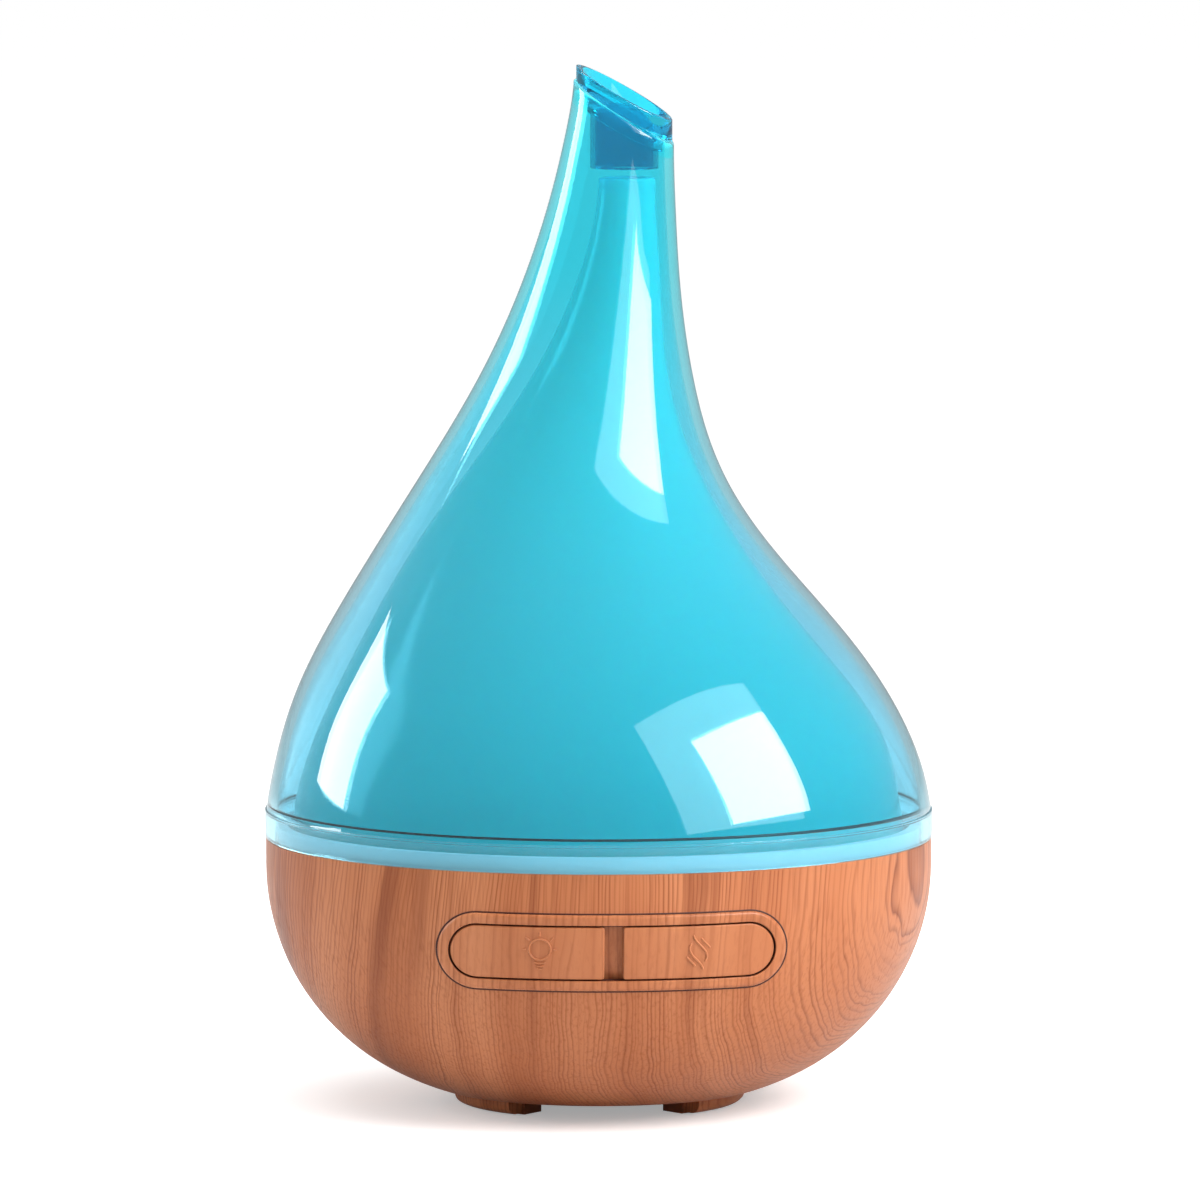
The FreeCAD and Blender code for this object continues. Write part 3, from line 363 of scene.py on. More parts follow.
def wood_group():
    """Printed timber, as if the bowl were turned from a trunk whose heart leans off to one side.

    Age = distance from that leaning line, bent by slow noise. A sharp-edged wave of Age, unevenly spaced,
    makes the growth lines; noise of Age and height makes the dark years; noise stretched along Z, pores.
    """
    maker, start, end = new_group(
        "printed_timber",
        {"Lines": 1.0, "Light": 0.0, "Pitch": 0.95 * MM},
        {"Color": "Color", "Roughness": "Float", "Height": "Float"},
    )
    place = maker.add("ShaderNodeTexCoord").outputs["Object"]
    x, y, z = maker.add("ShaderNodeSeparateXYZ", {0: place}).outputs
    lines, light, pitch = (start.outputs[label] for label in ("Lines", "Light", "Pitch"))

    def stretched(one, other, along, scales, detail=2.0, roughness=0.5):
        """Noise of three values, each with its own scale."""
        values = (one, other, along)
        scaled = [maker.maths("MULTIPLY", item, scale) for item, scale in zip(values, scales)]
        spot = maker.add("ShaderNodeCombineXYZ", dict(enumerate(scaled)))
        return noise(maker, spot.outputs[0], 1.0, detail, roughness)

    heart_x, heart_y, lean = 0.235, -0.105, 0.07
    away_x = maker.maths("SUBTRACT", maker.maths("MULTIPLY_ADD", z, -lean, x), heart_x)
    away_y = maker.maths("SUBTRACT", y, heart_y)
    squares = [maker.maths("POWER", away, 2.0) for away in (away_x, away_y)]
    age = maker.maths("SQRT", maker.maths("ADD", *squares))
    sway = stretched(x, y, z, (24.0, 24.0, 11.0), 3.0)
    age = maker.maths("MULTIPLY_ADD", maker.maths("SUBTRACT", sway, 0.5), 0.011, age)
    wobble = stretched(x, y, z, (160.0, 160.0, 24.0), 2.0)
    age = maker.maths("MULTIPLY_ADD", maker.maths("SUBTRACT", wobble, 0.5), 0.0011, age)
    uneven = stretched(age, z, 5.3, (420.0, 5.0, 1.0), 2.0)
    years = maker.maths("MULTIPLY_ADD", uneven, 2.2, maker.maths("DIVIDE", age, pitch))
    phase = maker.maths("FRACT", years)
    rise = maker.spread(phase, 0.38, 0.82)
    fall = maker.spread(phase, 0.82, 0.98, 1.0, 0.0)
    line = maker.maths("POWER", maker.maths("MINIMUM", rise, fall), 1.6)
    vary = maker.spread(stretched(age, z, 0.0, (330.0, 9.0, 0.0), 2.0), 0.36, 0.66, 0.25, 1.0)
    line = maker.maths("MULTIPLY", maker.maths("MULTIPLY", line, vary), lines)
    dark = maker.spread(stretched(age, z, 3.7, (145.0, 6.0, 1.0), 3.0, 0.6), 0.56, 0.72)
    dark = maker.maths("MULTIPLY", dark, lines)
    pores = maker.spread(stretched(x, y, z, (1500.0, 1500.0, 34.0), 2.0, 0.6), 0.50, 0.68)
    pores = maker.maths("MULTIPLY", pores, lines)
    broad = stretched(age, z, 9.1, (60.0, 5.0, 1.0), 2.0)
    tone = maker.ramp(
        broad,
        [
            (0.30, (0.385, 0.118, 0.042)),
            (0.46, (0.455, 0.152, 0.060)),
            (0.62, (0.530, 0.198, 0.086)),
            (0.78, (0.435, 0.138, 0.052)),
        ],
    )
    for mask, share, colour in (
        (line, 0.88, (0.190, 0.040, 0.010)),
        (pores, 0.30, (0.200, 0.046, 0.013)),
        (dark, 0.62, (0.190, 0.040, 0.010)),
    ):
        tone = maker.blend(maker.maths("MULTIPLY", mask, share), tone, colour)
    tone = maker.blend(light, tone, (0.600, 0.250, 0.120))
    maker.feed(end.inputs["Color"], tone)
    maker.feed(end.inputs["Roughness"], maker.maths("MULTIPLY_ADD", pores, 0.10, 0.36))
    maker.feed(end.inputs["Height"], maker.maths("MULTIPLY", maker.maths("ADD", line, pores), -0.5))
    return maker.tree


HANDLING = handling_group()
TIMBER = wood_group()


# ---------------------------------------------------------------- materials


def bumped(maker, shader, height, strength, distance):
    """Joins a height to the shader's normal through a bump."""
    bump = maker.add("ShaderNodeBump", {"Height": height, "Strength": strength, "Distance": distance})
    maker.feed(shader.inputs["Normal"], bump.outputs[0])


def moulded(name, colour, roughness, swing=0.12, size=60.0, dents=0.03 * MM, metallic=0.0):
    """Plain moulded or turned stuff: one colour with slight mottling, handling marks and fine dents."""
    material, maker, shader = new_material(name)
    marks = use_group(maker, HANDLING, Size=size, Base=roughness, Swing=swing)
    place = maker.add("ShaderNodeTexCoord").outputs["Object"]
    mottle = noise(maker, place, size * 0.6, 3.0)
    darker = tuple(channel * 0.86 for channel in colour)
    maker.feed(shader.inputs["Base Color"], maker.blend(mottle, colour, darker))
    maker.feed(shader.inputs["Roughness"], marks.outputs["Roughness"])
    shader.inputs["Metallic"].default_value = metallic
    bumped(maker, shader, marks.outputs["Height"], 0.4, dents)
    return material


def wood_print(name, lines=1.0, light=0.0, pitch=0.95 * MM):
    """The bowl's timber print under a thin satin lacquer."""
    material, maker, shader = new_material(name)
    timber = use_group(maker, TIMBER, Lines=lines, Light=light, Pitch=pitch)
    maker.feed(shader.inputs["Base Color"], timber.outputs["Color"])
    maker.feed(shader.inputs["Roughness"], timber.outputs["Roughness"])
    shader.inputs["Specular IOR Level"].default_value = 0.20
    shader.inputs["Coat Weight"].default_value = 0.08
    shader.inputs["Coat Roughness"].default_value = 0.25
    bumped(maker, shader, timber.outputs["Height"], 0.30, 0.06 * MM)
    return material


def clear_plastic(name, foot_tint, neck_tint, shadow_tint, roughness, collar=None):
    """Clear tinted plastic: refracts for what looks at it, and lets tinted light through for shadows.

    The tint goes from the foot's to the neck's between two heights, as the wall takes more colour there.
    A collar (height at the axis, slope along x, slope along y, tint) colours what is above a slanted plane.
    Light that has turned back inside the wall a few times goes straight on.
    """
    material, maker, shader = new_material(name)
    marks = use_group(maker, HANDLING, Size=35.0, Base=roughness, Swing=0.02)
    place = maker.add("ShaderNodeTexCoord").outputs["Object"]
    x, y, z = maker.add("ShaderNodeSeparateXYZ", {0: place}).outputs
    neck_low, neck_high = 0.12, 0.19
    tint = maker.blend(maker.spread(z, neck_low, neck_high), foot_tint, neck_tint)
    if collar:
        height, along_x, along_y, collar_tint = collar
        above = maker.maths("MULTIPLY_ADD", x, -along_x, maker.maths("SUBTRACT", z, height))
        above = maker.maths("MULTIPLY_ADD", y, -along_y, above)
        tint = maker.blend(maker.spread(above, 0.0, 0.15 * MM), tint, collar_tint)
    maker.feed(shader.inputs["Base Color"], tint)
    shader.inputs["Transmission Weight"].default_value = 1.0
    shader.inputs["IOR"].default_value = CLEAR_IOR
    maker.feed(shader.inputs["Roughness"], marks.outputs["Roughness"])
    path = maker.add("ShaderNodeLightPath")
    passing = maker.maths("MAXIMUM", path.outputs["Is Shadow Ray"], path.outputs["Is Diffuse Ray"])
    turned_back = maker.maths("GREATER_THAN", path.outputs["Glossy Depth"], 2.5)
    deep = maker.maths("GREATER_THAN", path.outputs["Ray Depth"], 8.5)
    share = maker.maths("MAXIMUM", passing, maker.maths("MAXIMUM", turned_back, deep))
    through = maker.add("ShaderNodeBsdfTransparent", {"Color": (*shadow_tint, 1)})
    mix = maker.add("ShaderNodeMixShader", {0: share, 1: shader.outputs[0], 2: through.outputs[0]})
    maker.feed(maker.nodes["Material Output"].inputs["Surface"], mix.outputs[0])
    return material


def collar_plane():
    """The slanted plane of the spout's skirt edge: height at the axis and its slopes along x and y."""
    centre, (height, along_x, along_y) = spout_rim()
    return height - SKIRT_DROP - along_x * centre[0] - along_y * centre[1], along_x, along_y


def milky_plastic():
    """The inner cone: a milky cyan that scatters light, a little deeper towards its foot, with a faint
    painted glow that stands in for light scattered inside it.
    """
    material, maker, shader = new_material("milky_cone")
    marks = use_group(maker, HANDLING, Size=25.0, Base=0.10, Swing=0.06)
    place = maker.add("ShaderNodeTexCoord").outputs["Object"]
    cloud = noise(maker, place, 18.0, 3.0)
    z = maker.add("ShaderNodeSeparateXYZ", {0: place}).outputs[2]
    foot, neck = 0.070, 0.170
    tone = maker.blend(maker.spread(z, foot, neck), (0.030, 0.500, 0.530), (0.190, 0.750, 0.770))
    deeper = maker.blend(cloud, WHITE, (0.85, 0.93, 0.95))
    tone = maker.blend(1.0, tone, deeper, "MULTIPLY")
    maker.feed(shader.inputs["Base Color"], tone)
    maker.feed(shader.inputs["Roughness"], marks.outputs["Roughness"])
    shader.inputs["Specular IOR Level"].default_value = 0.12
    shader.inputs["Subsurface Weight"].default_value = 0.6
    shader.inputs["Subsurface Radius"].default_value = (0.002, 0.008, 0.012)
    shader.inputs["Subsurface Scale"].default_value = 1.0
    # painted glow: this faint cyan emission stands in for light scattered inside the cone, which is no lamp
    shader.inputs["Emission Color"].default_value = (0.02, 0.52, 0.56, 1)
    shader.inputs["Emission Strength"].default_value = 0.10
    return material


MATERIALS = {
    "wood_print": wood_print("wood_print"),
    "bezel_print": wood_print("bezel_print", 0.9, 0.06, 1.6 * MM),
    "key_print": wood_print("key_print", 0.50, 0.08, 1.9 * MM),
    # near-black strips of painted shade for the panel's gaps
    "gap_shade_line": moulded("gap_shade_line", (0.050, 0.008, 0.003), 0.6),
    # the marks' print is paler than the keys': painted highlight on the raised strokes
    "mark_print_highlight": wood_print("mark_print_highlight", 0.1, 0.25),
    "clear_shell": clear_plastic(
        "clear_shell",
        (0.38, 0.75, 0.87),
        (0.15, 0.76, 0.85),
        (0.62, 0.85, 0.92),
        0.02,
        (*collar_plane(), (0.05, 0.80, 0.90)),
    ),
    "clear_spout": clear_plastic(
        "clear_spout", (0.02, 0.52, 0.68), (0.02, 0.52, 0.68), (0.12, 0.60, 0.80), 0.03
    ),
    "milky_cone": milky_plastic(),
    "white_plastic": moulded("white_plastic", (0.86, 0.87, 0.88), 0.28),
    "black_plastic": moulded("black_plastic", (0.022, 0.022, 0.024), 0.42),
    "brown_rubber": moulded("brown_rubber", (0.30, 0.095, 0.040), 0.62, 0.2, 120.0, 0.06 * MM),
    "grey_silicone": moulded("grey_silicone", (0.45, 0.45, 0.46), 0.5),
    "filter_foam": moulded("filter_foam", (0.05, 0.05, 0.055), 0.9, 0.1, 220.0, 0.4 * MM),
    "circuit_board": moulded("circuit_board", (0.015, 0.15, 0.06), 0.35),
    "lamp_resin": moulded("lamp_resin", (0.85, 0.82, 0.6), 0.2),
    "zinc_steel": moulded("zinc_steel", (0.62, 0.62, 0.63), 0.3, 0.15, 150.0, 0.02 * MM, 1.0),
    "nickel": moulded("nickel", (0.75, 0.72, 0.66), 0.18, 0.1, 150.0, 0.01 * MM, 1.0),
    "brass": moulded("brass", (0.72, 0.5, 0.2), 0.3, 0.1, 150.0, 0.01 * MM, 1.0),
    "aluminium": moulded("aluminium", (0.72, 0.72, 0.74), 0.35, 0.1, 150.0, 0.02 * MM, 1.0),
    "ferrite": moulded("ferrite", (0.05, 0.05, 0.055), 0.6),
    "piezo": moulded("piezo", (0.72, 0.69, 0.6), 0.35, 0.1, 90.0, 0.01 * MM, 0.6),
}


def dress_cad_nodes():
    """Gives every CAD node its slot's material and smooth shading between its creases.

    The feet's pads, the only rubber, wear a brown that goes with the bowl.
    """
    slots = {row["node"]: row["material_slot"] for row in frame["record"]["subparts"]}
    for name, thing in frame["nodes"].items():
        thing.data.materials.clear()
        slot = slots[name]
        thing.data.materials.append(MATERIALS["brown_rubber" if slot == "black_rubber" else slot])
        thing.data.polygons.foreach_set("use_smooth", np.ones(len(thing.data.polygons), dtype=bool))
        weld = thing.modifiers.new("weld", "WELD")
        weld.merge_threshold = 1e-6
        creases = thing.modifiers.new("creases", "EDGE_SPLIT")
        creases.split_angle = math.radians(32)


# ---------------------------------------------------------------- covers


def rounded_rim(outer, inner, top_out, top_in, edge):
    """Rings over a rim: a quarter circle off the outer wall, then one down onto the inner wall."""
    rings = [wall_ring(outer, top_out - edge * (1 - s), edge * (1 - c)) for s, c in quarter()[1:]]
    rings += [wall_ring(inner, top_in - edge * (1 - s), -edge * (1 - c)) for s, c in quarter()[::-1]]
    return rings


def cover_shell():
    """The clear teardrop as one closed wall, and the thin dark ring that rides inside it to paint the dark
    line of shade at the band's step.

    Going up, each ring follows the outer wall's fitted circles until the slanted mouth; then the rounded
    rim, the inner wall going down, the ledge inside the band, and the band with its rounded foot.
    """
    low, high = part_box("outer_cover")
    band_top = low.z + 6.4 * MM
    ledge = low.z + 5.6 * MM
    mouth_middle = high.z - 7 * MM
    outer, inner = smooth_walls("outer_cover", band_top + 0.6 * MM, mouth_middle)
    centre = np.array([outer[0](mouth_middle), outer[1](mouth_middle)])
    plane = rim_plane("outer_cover", high.z - 16 * MM, centre)
    round_edge = 0.5 * MM
    top_out = meeting_height(outer, plane, centre)
    top_in = meeting_height(inner, plane, centre)
    rise_out, rise_in = top_out - round_edge - band_top, top_in - round_edge - band_top
    rings = [wall_ring(outer, band_top + rise_out * share) for share in np.linspace(0, 1, 150) ** 0.93]
    rings += rounded_rim(outer, inner, top_out, top_in, round_edge)
    rings += [wall_ring(inner, band_top + rise_in * share) for share in np.linspace(1, 0, 130)[1:]]
    (_, _, band_out), (_, _, band_in) = two_circles(level_cut(cad_mesh("outer_cover"), low.z + 3 * MM))
    inner_ledge = inner[2](band_top)
    step = band_top - 0.15 * MM
    corners = [
        (inner_ledge, band_top),
        (inner_ledge, ledge),
        (band_in, ledge),
        (band_in, low.z),
        (band_out, low.z),
        (band_out, step),
        (outer[2](band_top), step),
        (outer[2](band_top), band_top),
    ]
    sizes = [size * MM for size in (0.15, 0.15, 0.12, 0.5, 0.10, 0.05)]
    rings += [level_ring(radius, height) for radius, height in softened(corners, sizes)]
    # a thin dark ring on the band's ledge: painted shade for the dark line at the step
    line_low = low.z + 6.95 * MM
    line_high = line_low + 0.5 * MM
    line_out = inner[2](line_low) - 0.03 * MM
    line_in = line_out - 0.4 * MM
    top_edge = line_out - 0.02 * MM
    section = ((line_out, line_low), (top_edge, line_high), (line_in, line_high), (line_in, line_low))
    line = [level_ring(radius, height) for radius, height in section]
    grid_piece("cover_shade_line", [line], "outer_cover", MATERIALS["black_plastic"])
    shell = MATERIALS["clear_shell"]
    grid_piece("teardrop_cover", [rings], "outer_cover", shell, ["outer_cover"])


def cone_shell():
    """The milky cone as one closed wall: outer circles up to the mouth, a rounded rim, inner circles down,
    and a foot that bends in by a quarter turn."""
    low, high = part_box("inner_cover")
    start = low.z + 3.9 * MM
    outer, inner = smooth_walls("inner_cover", start, high.z - 0.3 * MM)
    round_edge = 0.6 * MM
    top = np.full(COLUMNS, high.z)
    rise = top - round_edge - start
    rings = [wall_ring(outer, start + rise * share) for share in np.linspace(0, 1, 150)]
    rings += rounded_rim(outer, inner, top, top, round_edge)
    rings += [wall_ring(inner, start + rise * share) for share in np.linspace(1, 0, 120)[1:]]
    foot_drop, foot_in = start - low.z, 2.6 * MM
    bend = [(foot_in * (1 - cosine), foot_drop * sine) for sine, cosine in quarter(7)]
    rings += [level_ring(inner[2](start) - inset, start - drop) for inset, drop in bend[1:]]
    rings += [level_ring(outer[2](start) - inset, start - drop) for inset, drop in bend[::-1][:-1]]
    cone = MATERIALS["milky_cone"]
    grid_piece("mist_cone", [rings], "inner_cover", cone, ["inner_cover"])


def nozzle():
    """The clear spout: every ring is a circle about the tube's upright axis, dropped onto a slanted plane.

    It runs up the lip's outside, over its rounded top, down the funnel and bore, round the tube's foot,
    up the tube, out to the skirt and up the skirt to the lip's underside. The funnel's radius goes from
    the lip's to the bore's as the sine of a quarter turn.
    """
    low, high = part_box("spout")
    lip = (high.x - low.x) / 2
    centre, top = spout_rim()
    up = np.array([1.0, 0.0, 0.0])
    mouth = rim_plane("outer_cover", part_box("outer_cover")[1].z - 16 * MM, centre) + 0.1 * MM * up
    flat = low.z * up
    (_, _, tube), (_, _, bore) = two_circles(level_cut(cad_mesh("spout"), low.z + 2 * MM))
    skirt = lip - 2.2 * MM
    skirt_plane = top - SKIRT_DROP * up
    funnel_top, funnel_deep = lip - 1.0 * MM, 7.0 * MM
    narrowing = bore - funnel_top
    funnel = [
        (funnel_top + narrowing * math.sin(share * math.pi / 2), *(top - funnel_deep * share * up))
        for share in np.linspace(0.1, 1, 14)
    ]
    side = (lip, *((mouth + top) / 2))
    rim = [side, (lip, *top), (funnel_top, *top), funnel[0]]
    body = [
        funnel[-1],
        (bore, *flat),
        (tube, *flat),
        (tube, *skirt_plane),
        (skirt, *skirt_plane),
        (skirt, *mouth),
        (lip, *mouth),
        side,
    ]
    body_sizes = [size * MM for size in (0.42, 0.42, 0.15, 0.2, 0.1, 0.3)]
    rows = [side, *softened(rim, [0.3 * MM, 0.3 * MM]), *funnel, *softened(body, body_sizes)]
    rings = [slanted_ring(row[0], np.array(row[1:]), centre) for row in rows]
    grid_piece("nozzle", [rings], "spout", MATERIALS["clear_spout"], ["spout"])


# ---------------------------------------------------------------- key panel


def bowl_arc():
    """The bowl's side as an arc in the plane of distance from the axis and height: centre and radius.

    The widest point of the shell's right side is read at many heights, and one circle goes through them.
    """
    mesh = cad_mesh("base_shell")
    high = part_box("button_bezel")[1].z
    pairs = []
    for height in np.linspace(0.3 * high, 0.98 * high, 40):
        points = level_cut(mesh, height)
        away = np.hypot(points[:, 0], points[:, 1])
        pairs.append((away[points[:, 0] > 0.8 * away].max(), height))
    return circle_through(np.array(pairs))


def on_bowl(x, z, proud):
    """The point in front of the bowl's skin at x and z: the arc grown by proud, turned about the axis."""
    centre, height, arc = BOWL
    radius = centre + np.sqrt((arc + proud) ** 2 - (z - height) ** 2)
    return np.stack([x, -np.sqrt(radius**2 - x**2), z + 0 * x], -1)


def long_oval(half, tall, middle, count=OVAL_COLUMNS):
    """Points of a bar with round ends, evenly by length, and the way out from each.

    Two straight runs of 2 (half - r) and two half circles of radius r = tall / 2.
    """
    radius = tall / 2
    straight = 2 * (half - radius)
    length = 2 * straight + 2 * math.pi * radius
    s = np.arange(count) / count * length
    bend = math.pi * radius
    on_top = s < straight
    right = (s >= straight) & (s < straight + bend)
    below = (s >= straight + bend) & (s < 2 * straight + bend)
    turn = np.select(
        [on_top, right, below],
        [math.pi / 2, math.pi / 2 - (s - straight) / radius, -math.pi / 2],
        -math.pi / 2 - (s - 2 * straight - bend) / radius,
    )
    hub = np.select(
        [on_top, right, below],
        [-straight / 2 + s, straight / 2, straight / 2 - (s - straight - bend)],
        -straight / 2,
    )
    way = np.stack([np.cos(turn), np.sin(turn)], -1)
    return np.stack([hub + radius * way[:, 0], middle + radius * way[:, 1]], -1), way


def key_outline(low, high, corner, side, count=240):
    """Points round one key and the way out from each: a half circle outside, small corners inside."""
    radius = (high.z - low.z) / 2
    middle = (high.z + low.z) / 2
    inner, outer = (low.x, high.x) if side > 0 else (high.x, low.x)
    hub, bend_hub = outer - side * radius, inner + side * corner
    half_turn = np.linspace(-math.pi / 2, math.pi / 2, count // 2)
    round_end = np.stack([hub + side * radius * np.cos(half_turn), middle + radius * np.sin(half_turn)], -1)
    share = np.linspace(0, 1, count // 6 + 1)[1:-1]
    top = np.stack([hub + (bend_hub - hub) * share, np.full(len(share), high.z)], -1)
    bend = np.linspace(math.pi / 2, math.pi, 7)
    corner_top = np.stack(
        [bend_hub + side * corner * np.cos(bend), high.z - corner + corner * np.sin(bend)], -1
    )
    corner_low = corner_top[::-1] * [1, -1] + [0, 2 * middle]
    low_run = top[::-1] * [1, -1] + [0, 2 * middle]
    heights = np.linspace(corner_top[-1, 1], corner_low[0, 1], 18)[1:-1]
    inner_end = np.stack([np.full(len(heights), inner), heights], -1)
    points = np.concatenate([round_end, top, corner_top, inner_end, corner_low, low_run])
    ahead = np.roll(points, -1, 0) - np.roll(points, 1, 0)
    way = np.stack([ahead[:, 1], -ahead[:, 0]], -1) * side
    return points, way / np.linalg.norm(way, axis=1)[:, None]


def rounded_slab(points, way, top, bottom, edge, fill=18):
    """A closed slab on the bowl's curve: rings grow from the middle to the outline, go over a rounded edge,
    down the wall and back to the middle underneath."""
    middle = points.mean(0)
    inside = points - way * edge
    grown = np.linspace(0, 1, fill)
    rings = [on_bowl(*(middle + (inside - middle) * share).T, top) for share in grown]
    for sine, cosine in quarter()[1:]:
        rings.append(on_bowl(*(inside + way * edge * sine).T, top - edge * (1 - cosine)))
    for share in (0.5, 1.0):
        rings.append(on_bowl(*points.T, (top - edge) * (1 - share) + bottom * share))
    rings += [on_bowl(*(middle + (points - middle) * share).T, bottom) for share in grown[-2::-1]]
    return np.array(rings)


def boxed(near, far, low, high):
    """A rectangle's corners as a profile of (way in, height)."""
    return [(near, low), (near, high), (far, high), (far, low)]


def bezel():
    """The raised frame round the keys, the floor behind them, and dark strips of painted shade in the two
    gaps.

    The frame is one profile of (way in, height over the bowl) carried round the long oval: a broad rounded
    shoulder outside, a top that falls gently inwards, and a small rounded lip at the keys' gap.
    """
    low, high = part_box("button_bezel")
    half, tall, middle = high.x, high.z - low.z, (high.z + low.z) / 2
    outline, way = long_oval(half, tall, middle)
    proud, shoulder, lip, fall = 0.8 * MM, 1.15 * MM, 0.25 * MM, 0.14 * MM
    gap, inner, back = 0.36 * MM, 2.72 * MM, 2.2 * MM
    skin, sunk, depth = 0.12 * MM, -0.12 * MM, -3.4 * MM

    def carried(profile):
        return [on_bowl(*(outline - way * inset).T, height) for inset, height in profile]

    # painted shade: a dark strip in the gap round the frame, and a dark ring low in the keys' gap
    outer_gap_shade = boxed(0.0, gap + 0.1 * MM, sunk, 0.03 * MM)
    key_gap_shade = boxed(inner - 0.02 * MM, inner + 0.3 * MM, -1.2 * MM, -0.7 * MM)
    lines = [carried(outer_gap_shade), carried(key_gap_shade)]
    grid_piece("panel_gap_shade_lines", lines, "base", MATERIALS["gap_shade_line"])
    profile = [(gap, sunk), (gap, skin)]
    profile += [
        (gap + (shoulder - gap) * (1 - cosine), skin + (proud - skin) * sine)
        for sine, cosine in quarter(8)[1:]
    ]
    run, crest = inner - lip - shoulder, proud - fall
    profile += [(shoulder + run * share, proud - fall * share) for share in (0.33, 0.67, 1)]
    profile += [(inner - lip * (1 - sine), crest - lip * (1 - cosine)) for sine, cosine in quarter()[1:]]
    profile += [(inner, -1.0 * MM), (inner, depth), (back, depth), (back, sunk)]
    frame_rows = carried(profile)
    floor_points, floor_way = long_oval(half - inner - 0.002 * MM, tall - 2 * inner, middle)
    plate = rounded_slab(floor_points, floor_way, -1.9 * MM, depth, 0.05 * MM)
    grid_piece(
        "panel_bezel", [frame_rows, plate], "base", MATERIALS["bezel_print"], ["button_bezel"]
    )


def stroke(path, width, rise, base, closed=False, sides=9):
    """A raised line on a key: a half-oval profile across the path, drawn in to a point at open ends.

    path is (x, z) points; at each, the profile runs from one side over the top to the other side.
    """
    path = np.asarray(path, float)
    ahead = np.roll(path, -1, 0) - np.roll(path, 1, 0) if closed else np.gradient(path, axis=0)
    across = np.stack([-ahead[:, 1], ahead[:, 0]], -1) / np.linalg.norm(ahead, axis=1)[:, None]
    if closed:
        swell = np.ones(len(path))
    else:
        share = np.linspace(-1, 1, len(path))
        swell = np.sqrt(np.clip(1 - np.abs(share) ** 14, 0, 1))
    angle = np.linspace(0, math.pi, sides)
    side = np.concatenate([np.cos(angle), [-1.0, 1.0]])
    lift = np.concatenate([np.sin(angle) * rise, [-0.1 * MM, -0.1 * MM]])
    x = path[:, None, 0] + across[:, None, 0] * side * width / 2 * swell[:, None]
    z = path[:, None, 1] + across[:, None, 1] * side * width / 2 * swell[:, None]
    height = np.where(lift > 0, lift * swell[:, None], lift)
    rows = on_bowl(x, z, base + height)
    if not closed:
        first = np.repeat(rows[:1].mean(1, keepdims=True), rows.shape[1], 1)
        last = np.repeat(rows[-1:].mean(1, keepdims=True), rows.shape[1], 1)
        rows = np.concatenate([first, rows, last])
    return rows


def ring_path(x, z, radius, count=72):
    """A small circle."""
    angle = turns(count)
    return np.stack([x + radius * np.cos(angle), z + radius * np.sin(angle)], -1)


def straight_path(x, z, turn, start, end, count=12):
    """A short ray between two distances from a point, at a turn from straight up."""
    reach = np.linspace(start, end, count)
    return np.stack([x + reach * math.sin(turn), z + reach * math.cos(turn)], -1)


def steam_path(x, z, shift, start, end, sign, count=40):
    """Part of a wisp: x goes as minus the cosine of the way down. A sign of -1 turns it half round (x, z)."""
    share = np.linspace(start, end, count)
    swing, lean, top, tall = 1.48, 0.44, 4.03, 4.9
    across = (lean - swing * np.cos(math.pi * share) + shift[0]) * MM
    up = (top - tall * share + shift[1]) * MM
    return np.stack([x + sign * across, z + sign * up], -1)


def lamp_mark(x, z, width, rise, base):
    """A round bulb with five rays above it and three shallow arcs for its cap below."""
    strokes = [stroke(ring_path(x, z, 2.35 * MM), width, rise, base, True)]
    thin, ray_start = width * 0.8, 2.95 * MM
    for turn in (-90, -48, 0, 48, 90):
        reach = 1.15 * MM if abs(turn) < 90 else 0.75 * MM
        ray = straight_path(x, z, math.radians(turn), ray_start, ray_start + reach)
        strokes.append(stroke(ray, thin, rise, base))
    for drop, half in ((3.15, 1.35), (3.85, 1.0), (4.5, 0.6)):
        reach = np.linspace(-half, half, 14) * MM
        sag = 0.22 * MM * (reach / (half * MM)) ** 2
        strokes.append(stroke(np.stack([x + reach, z - drop * MM + sag], -1), thin, rise, base))
    return strokes


def steam_mark(x, z, width, rise, base):
    """Two long wisps and two short ones beside them, each pair the same shape turned half round."""
    wisps = (((0.0, 0.0), 0.0, 1.27), ((1.25, 0.4), 0.25, 0.72))
    return [
        stroke(steam_path(x, z, shift, start, end, sign), width, rise, base)
        for shift, start, end in wisps
        for sign in (1, -1)
    ]


def keys():
    """The two keys with their raised marks: a lamp with rays, and wisps of steam."""
    proud, thick, edge, corner = 0.5 * MM, 1.6 * MM, 0.28 * MM, 0.5 * MM
    width, rise = 0.44 * MM, 0.34 * MM
    base = proud - 0.02 * MM
    for name, side, mark, right, up in (
        ("light", -1, lamp_mark, 2.6 * MM, 0.9 * MM),
        ("mist", 1, steam_mark, -0.2 * MM, 0.0),
    ):
        button = f"{name}_button"
        low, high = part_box(button)
        points, way = key_outline(low, high, corner, side)
        slab = rounded_slab(points, way, proud, proud - thick, edge)
        grid_piece(f"{name}_key", [slab], button, MATERIALS["key_print"], [button])
        strokes = mark((low.x + high.x) / 2 + right, (low.z + high.z) / 2 + up, width, rise, base)
        # the raised marks wear the paler print, a painted highlight
        grid_piece(f"{name}_mark", strokes, button, MATERIALS["mark_print_highlight"])


# ---------------------------------------------------------------- stage, light, camera


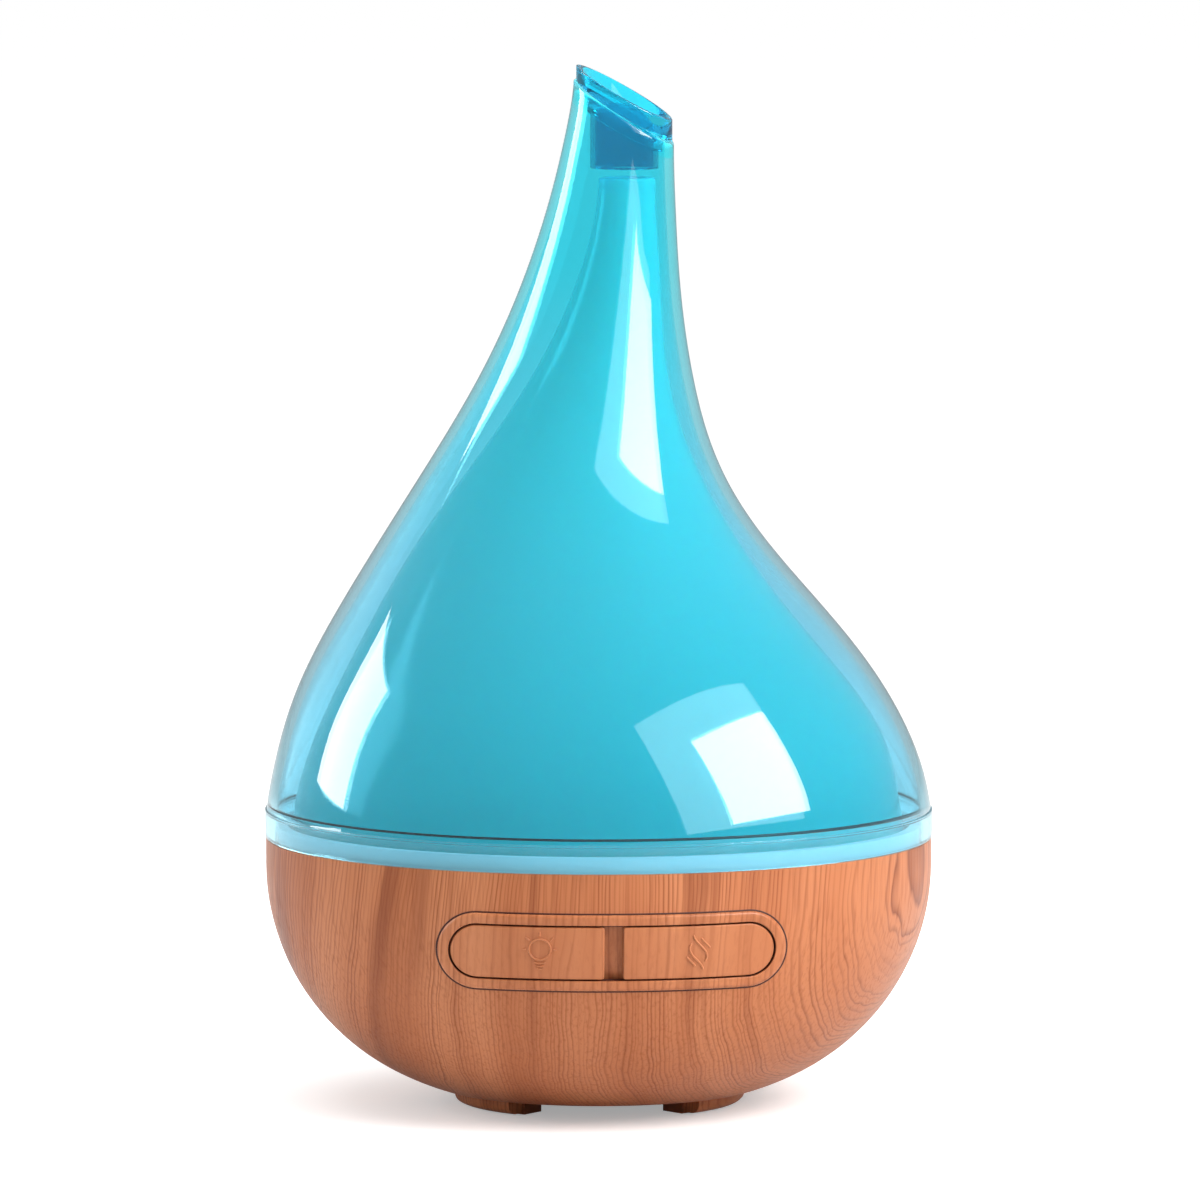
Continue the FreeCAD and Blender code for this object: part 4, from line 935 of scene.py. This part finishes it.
def floor():
    """A plain pale floor with a faint glow, so that it stays white away from the object.

    The glow is less where the object hangs over the floor, which deepens the contact shadow.
    """
    mesh = bpy.data.meshes.new("floor")
    side = 30.0
    corners = [(-side, -side, 0), (side, -side, 0), (side, side, 0), (-side, side, 0)]
    mesh.from_pydata(corners, [], [(0, 1, 2, 3)])
    thing = bpy.data.objects.new("floor", mesh)
    bpy.context.scene.collection.objects.link(thing)
    material, maker, shader = new_material("pale_floor")
    shader.inputs["Base Color"].default_value = (0.80, 0.80, 0.80, 1)
    shader.inputs["Roughness"].default_value = 0.9
    shader.inputs["Specular IOR Level"].default_value = 0.0
    shader.inputs["Emission Color"].default_value = (*WHITE, 1)
    path = maker.add("ShaderNodeLightPath")
    seen = maker.maths("MAXIMUM", path.outputs["Is Camera Ray"], path.outputs["Is Transmission Ray"])
    open_sky = maker.add("ShaderNodeAmbientOcclusion", {"Distance": 0.07}).outputs["AO"]
    glow = maker.maths("MULTIPLY", seen, maker.spread(open_sky, 0.0, 1.0, 0.34, 0.66))
    maker.feed(shader.inputs["Emission Strength"], glow)
    mesh.materials.append(material)


def area_light(name, turn, lift, distance, width, tall, power, shows):
    """A soft box at a turn from the front, towards +X, and a lift above the horizon, facing the object.

    It either shows as a highlight and lights nothing matt, or lights matt surfaces and doesn't show.
    """
    light = bpy.data.lights.new(name, "AREA")
    light.shape = "RECTANGLE"
    light.size, light.size_y = width, tall
    light.energy = power
    thing = bpy.data.objects.new(name, light)
    bpy.context.scene.collection.objects.link(thing)
    a, e = math.radians(turn), math.radians(lift)
    way = Vector((math.sin(a) * math.cos(e), -math.cos(a) * math.cos(e), math.sin(e)))
    thing.location = Vector((0, 0, LIT_HEIGHT)) + way * distance
    thing.rotation_euler = (-way).to_track_quat("-Z", "Y").to_euler()
    thing.visible_diffuse = not shows
    thing.visible_glossy = shows
    thing.visible_transmission = shows


def surroundings():
    """A white room: bright to the eye and to matt surfaces, dimmer in reflections."""
    world = bpy.data.worlds.new("studio")
    world.use_nodes = True
    bpy.context.scene.world = world
    maker = Maker(world.node_tree)
    back = maker.nodes["Background"]
    path = maker.add("ShaderNodeLightPath")
    back.inputs["Color"].default_value = (*WHITE, 1)
    back.inputs["Strength"].default_value = 0.42
    dim = maker.add("ShaderNodeBackground", {"Color": (*WHITE, 1), "Strength": 0.38})
    seen = maker.add("ShaderNodeBackground", {"Color": (*WHITE, 1), "Strength": 1.0})
    glossy = path.outputs["Is Glossy Ray"]
    first = maker.add("ShaderNodeMixShader", {0: glossy, 1: back.outputs[0], 2: dim.outputs[0]})
    share = maker.maths("MAXIMUM", path.outputs["Is Camera Ray"], path.outputs["Is Transmission Ray"])
    last = maker.add("ShaderNodeMixShader", {0: share, 1: first.outputs[0], 2: seen.outputs[0]})
    maker.feed(maker.nodes["World Output"].inputs["Surface"], last.outputs[0])


def camera():
    """A long lens from the front, a little above."""
    data = bpy.data.cameras.new("camera")
    data.lens = LENS
    data.sensor_width = SENSOR
    data.clip_end = 50.0
    thing = bpy.data.objects.new("camera", data)
    bpy.context.scene.collection.objects.link(thing)
    turn = math.radians(VIEW_TURN)
    thing.location = (CAMERA_DISTANCE * math.sin(turn), -CAMERA_DISTANCE * math.cos(turn), CAMERA_HEIGHT)
    aim = Vector((AIM_SIDE * math.cos(turn), AIM_SIDE * math.sin(turn), AIM_HEIGHT))
    thing.rotation_euler = (aim - thing.location).to_track_quat("-Z", "Y").to_euler()
    bpy.context.scene.camera = thing


def lights():
    """Soft light from both sides, above and the front, and the boxes that show as the cover's highlights."""
    area_light("left_soft", -100, 20, 1.3, 0.70, 0.60, 6, False)
    area_light("right_soft", 60, 30, 1.3, 0.80, 0.75, 17, False)
    area_light("top_soft", 0, 84, 1.5, 1.6, 1.6, 15, False)
    area_light("front_soft", 38, 40, 1.6, 0.9, 0.9, 7, False)
    area_light("left_box", -110, 18, 1.3, 0.42, 0.56, 7, True)
    area_light("right_box", 60, 27, 1.3, 0.74, 0.70, 21, True)
    area_light("right_glow", 50, 31, 1.32, 1.15, 1.00, 9, True)


camera()
surroundings()
lights()
floor()
dress_cad_nodes()
BOWL = bowl_arc()
bezel()
keys()
cover_shell()
cone_shell()
nozzle()

bpy.context.scene.view_settings.view_transform = "Standard"
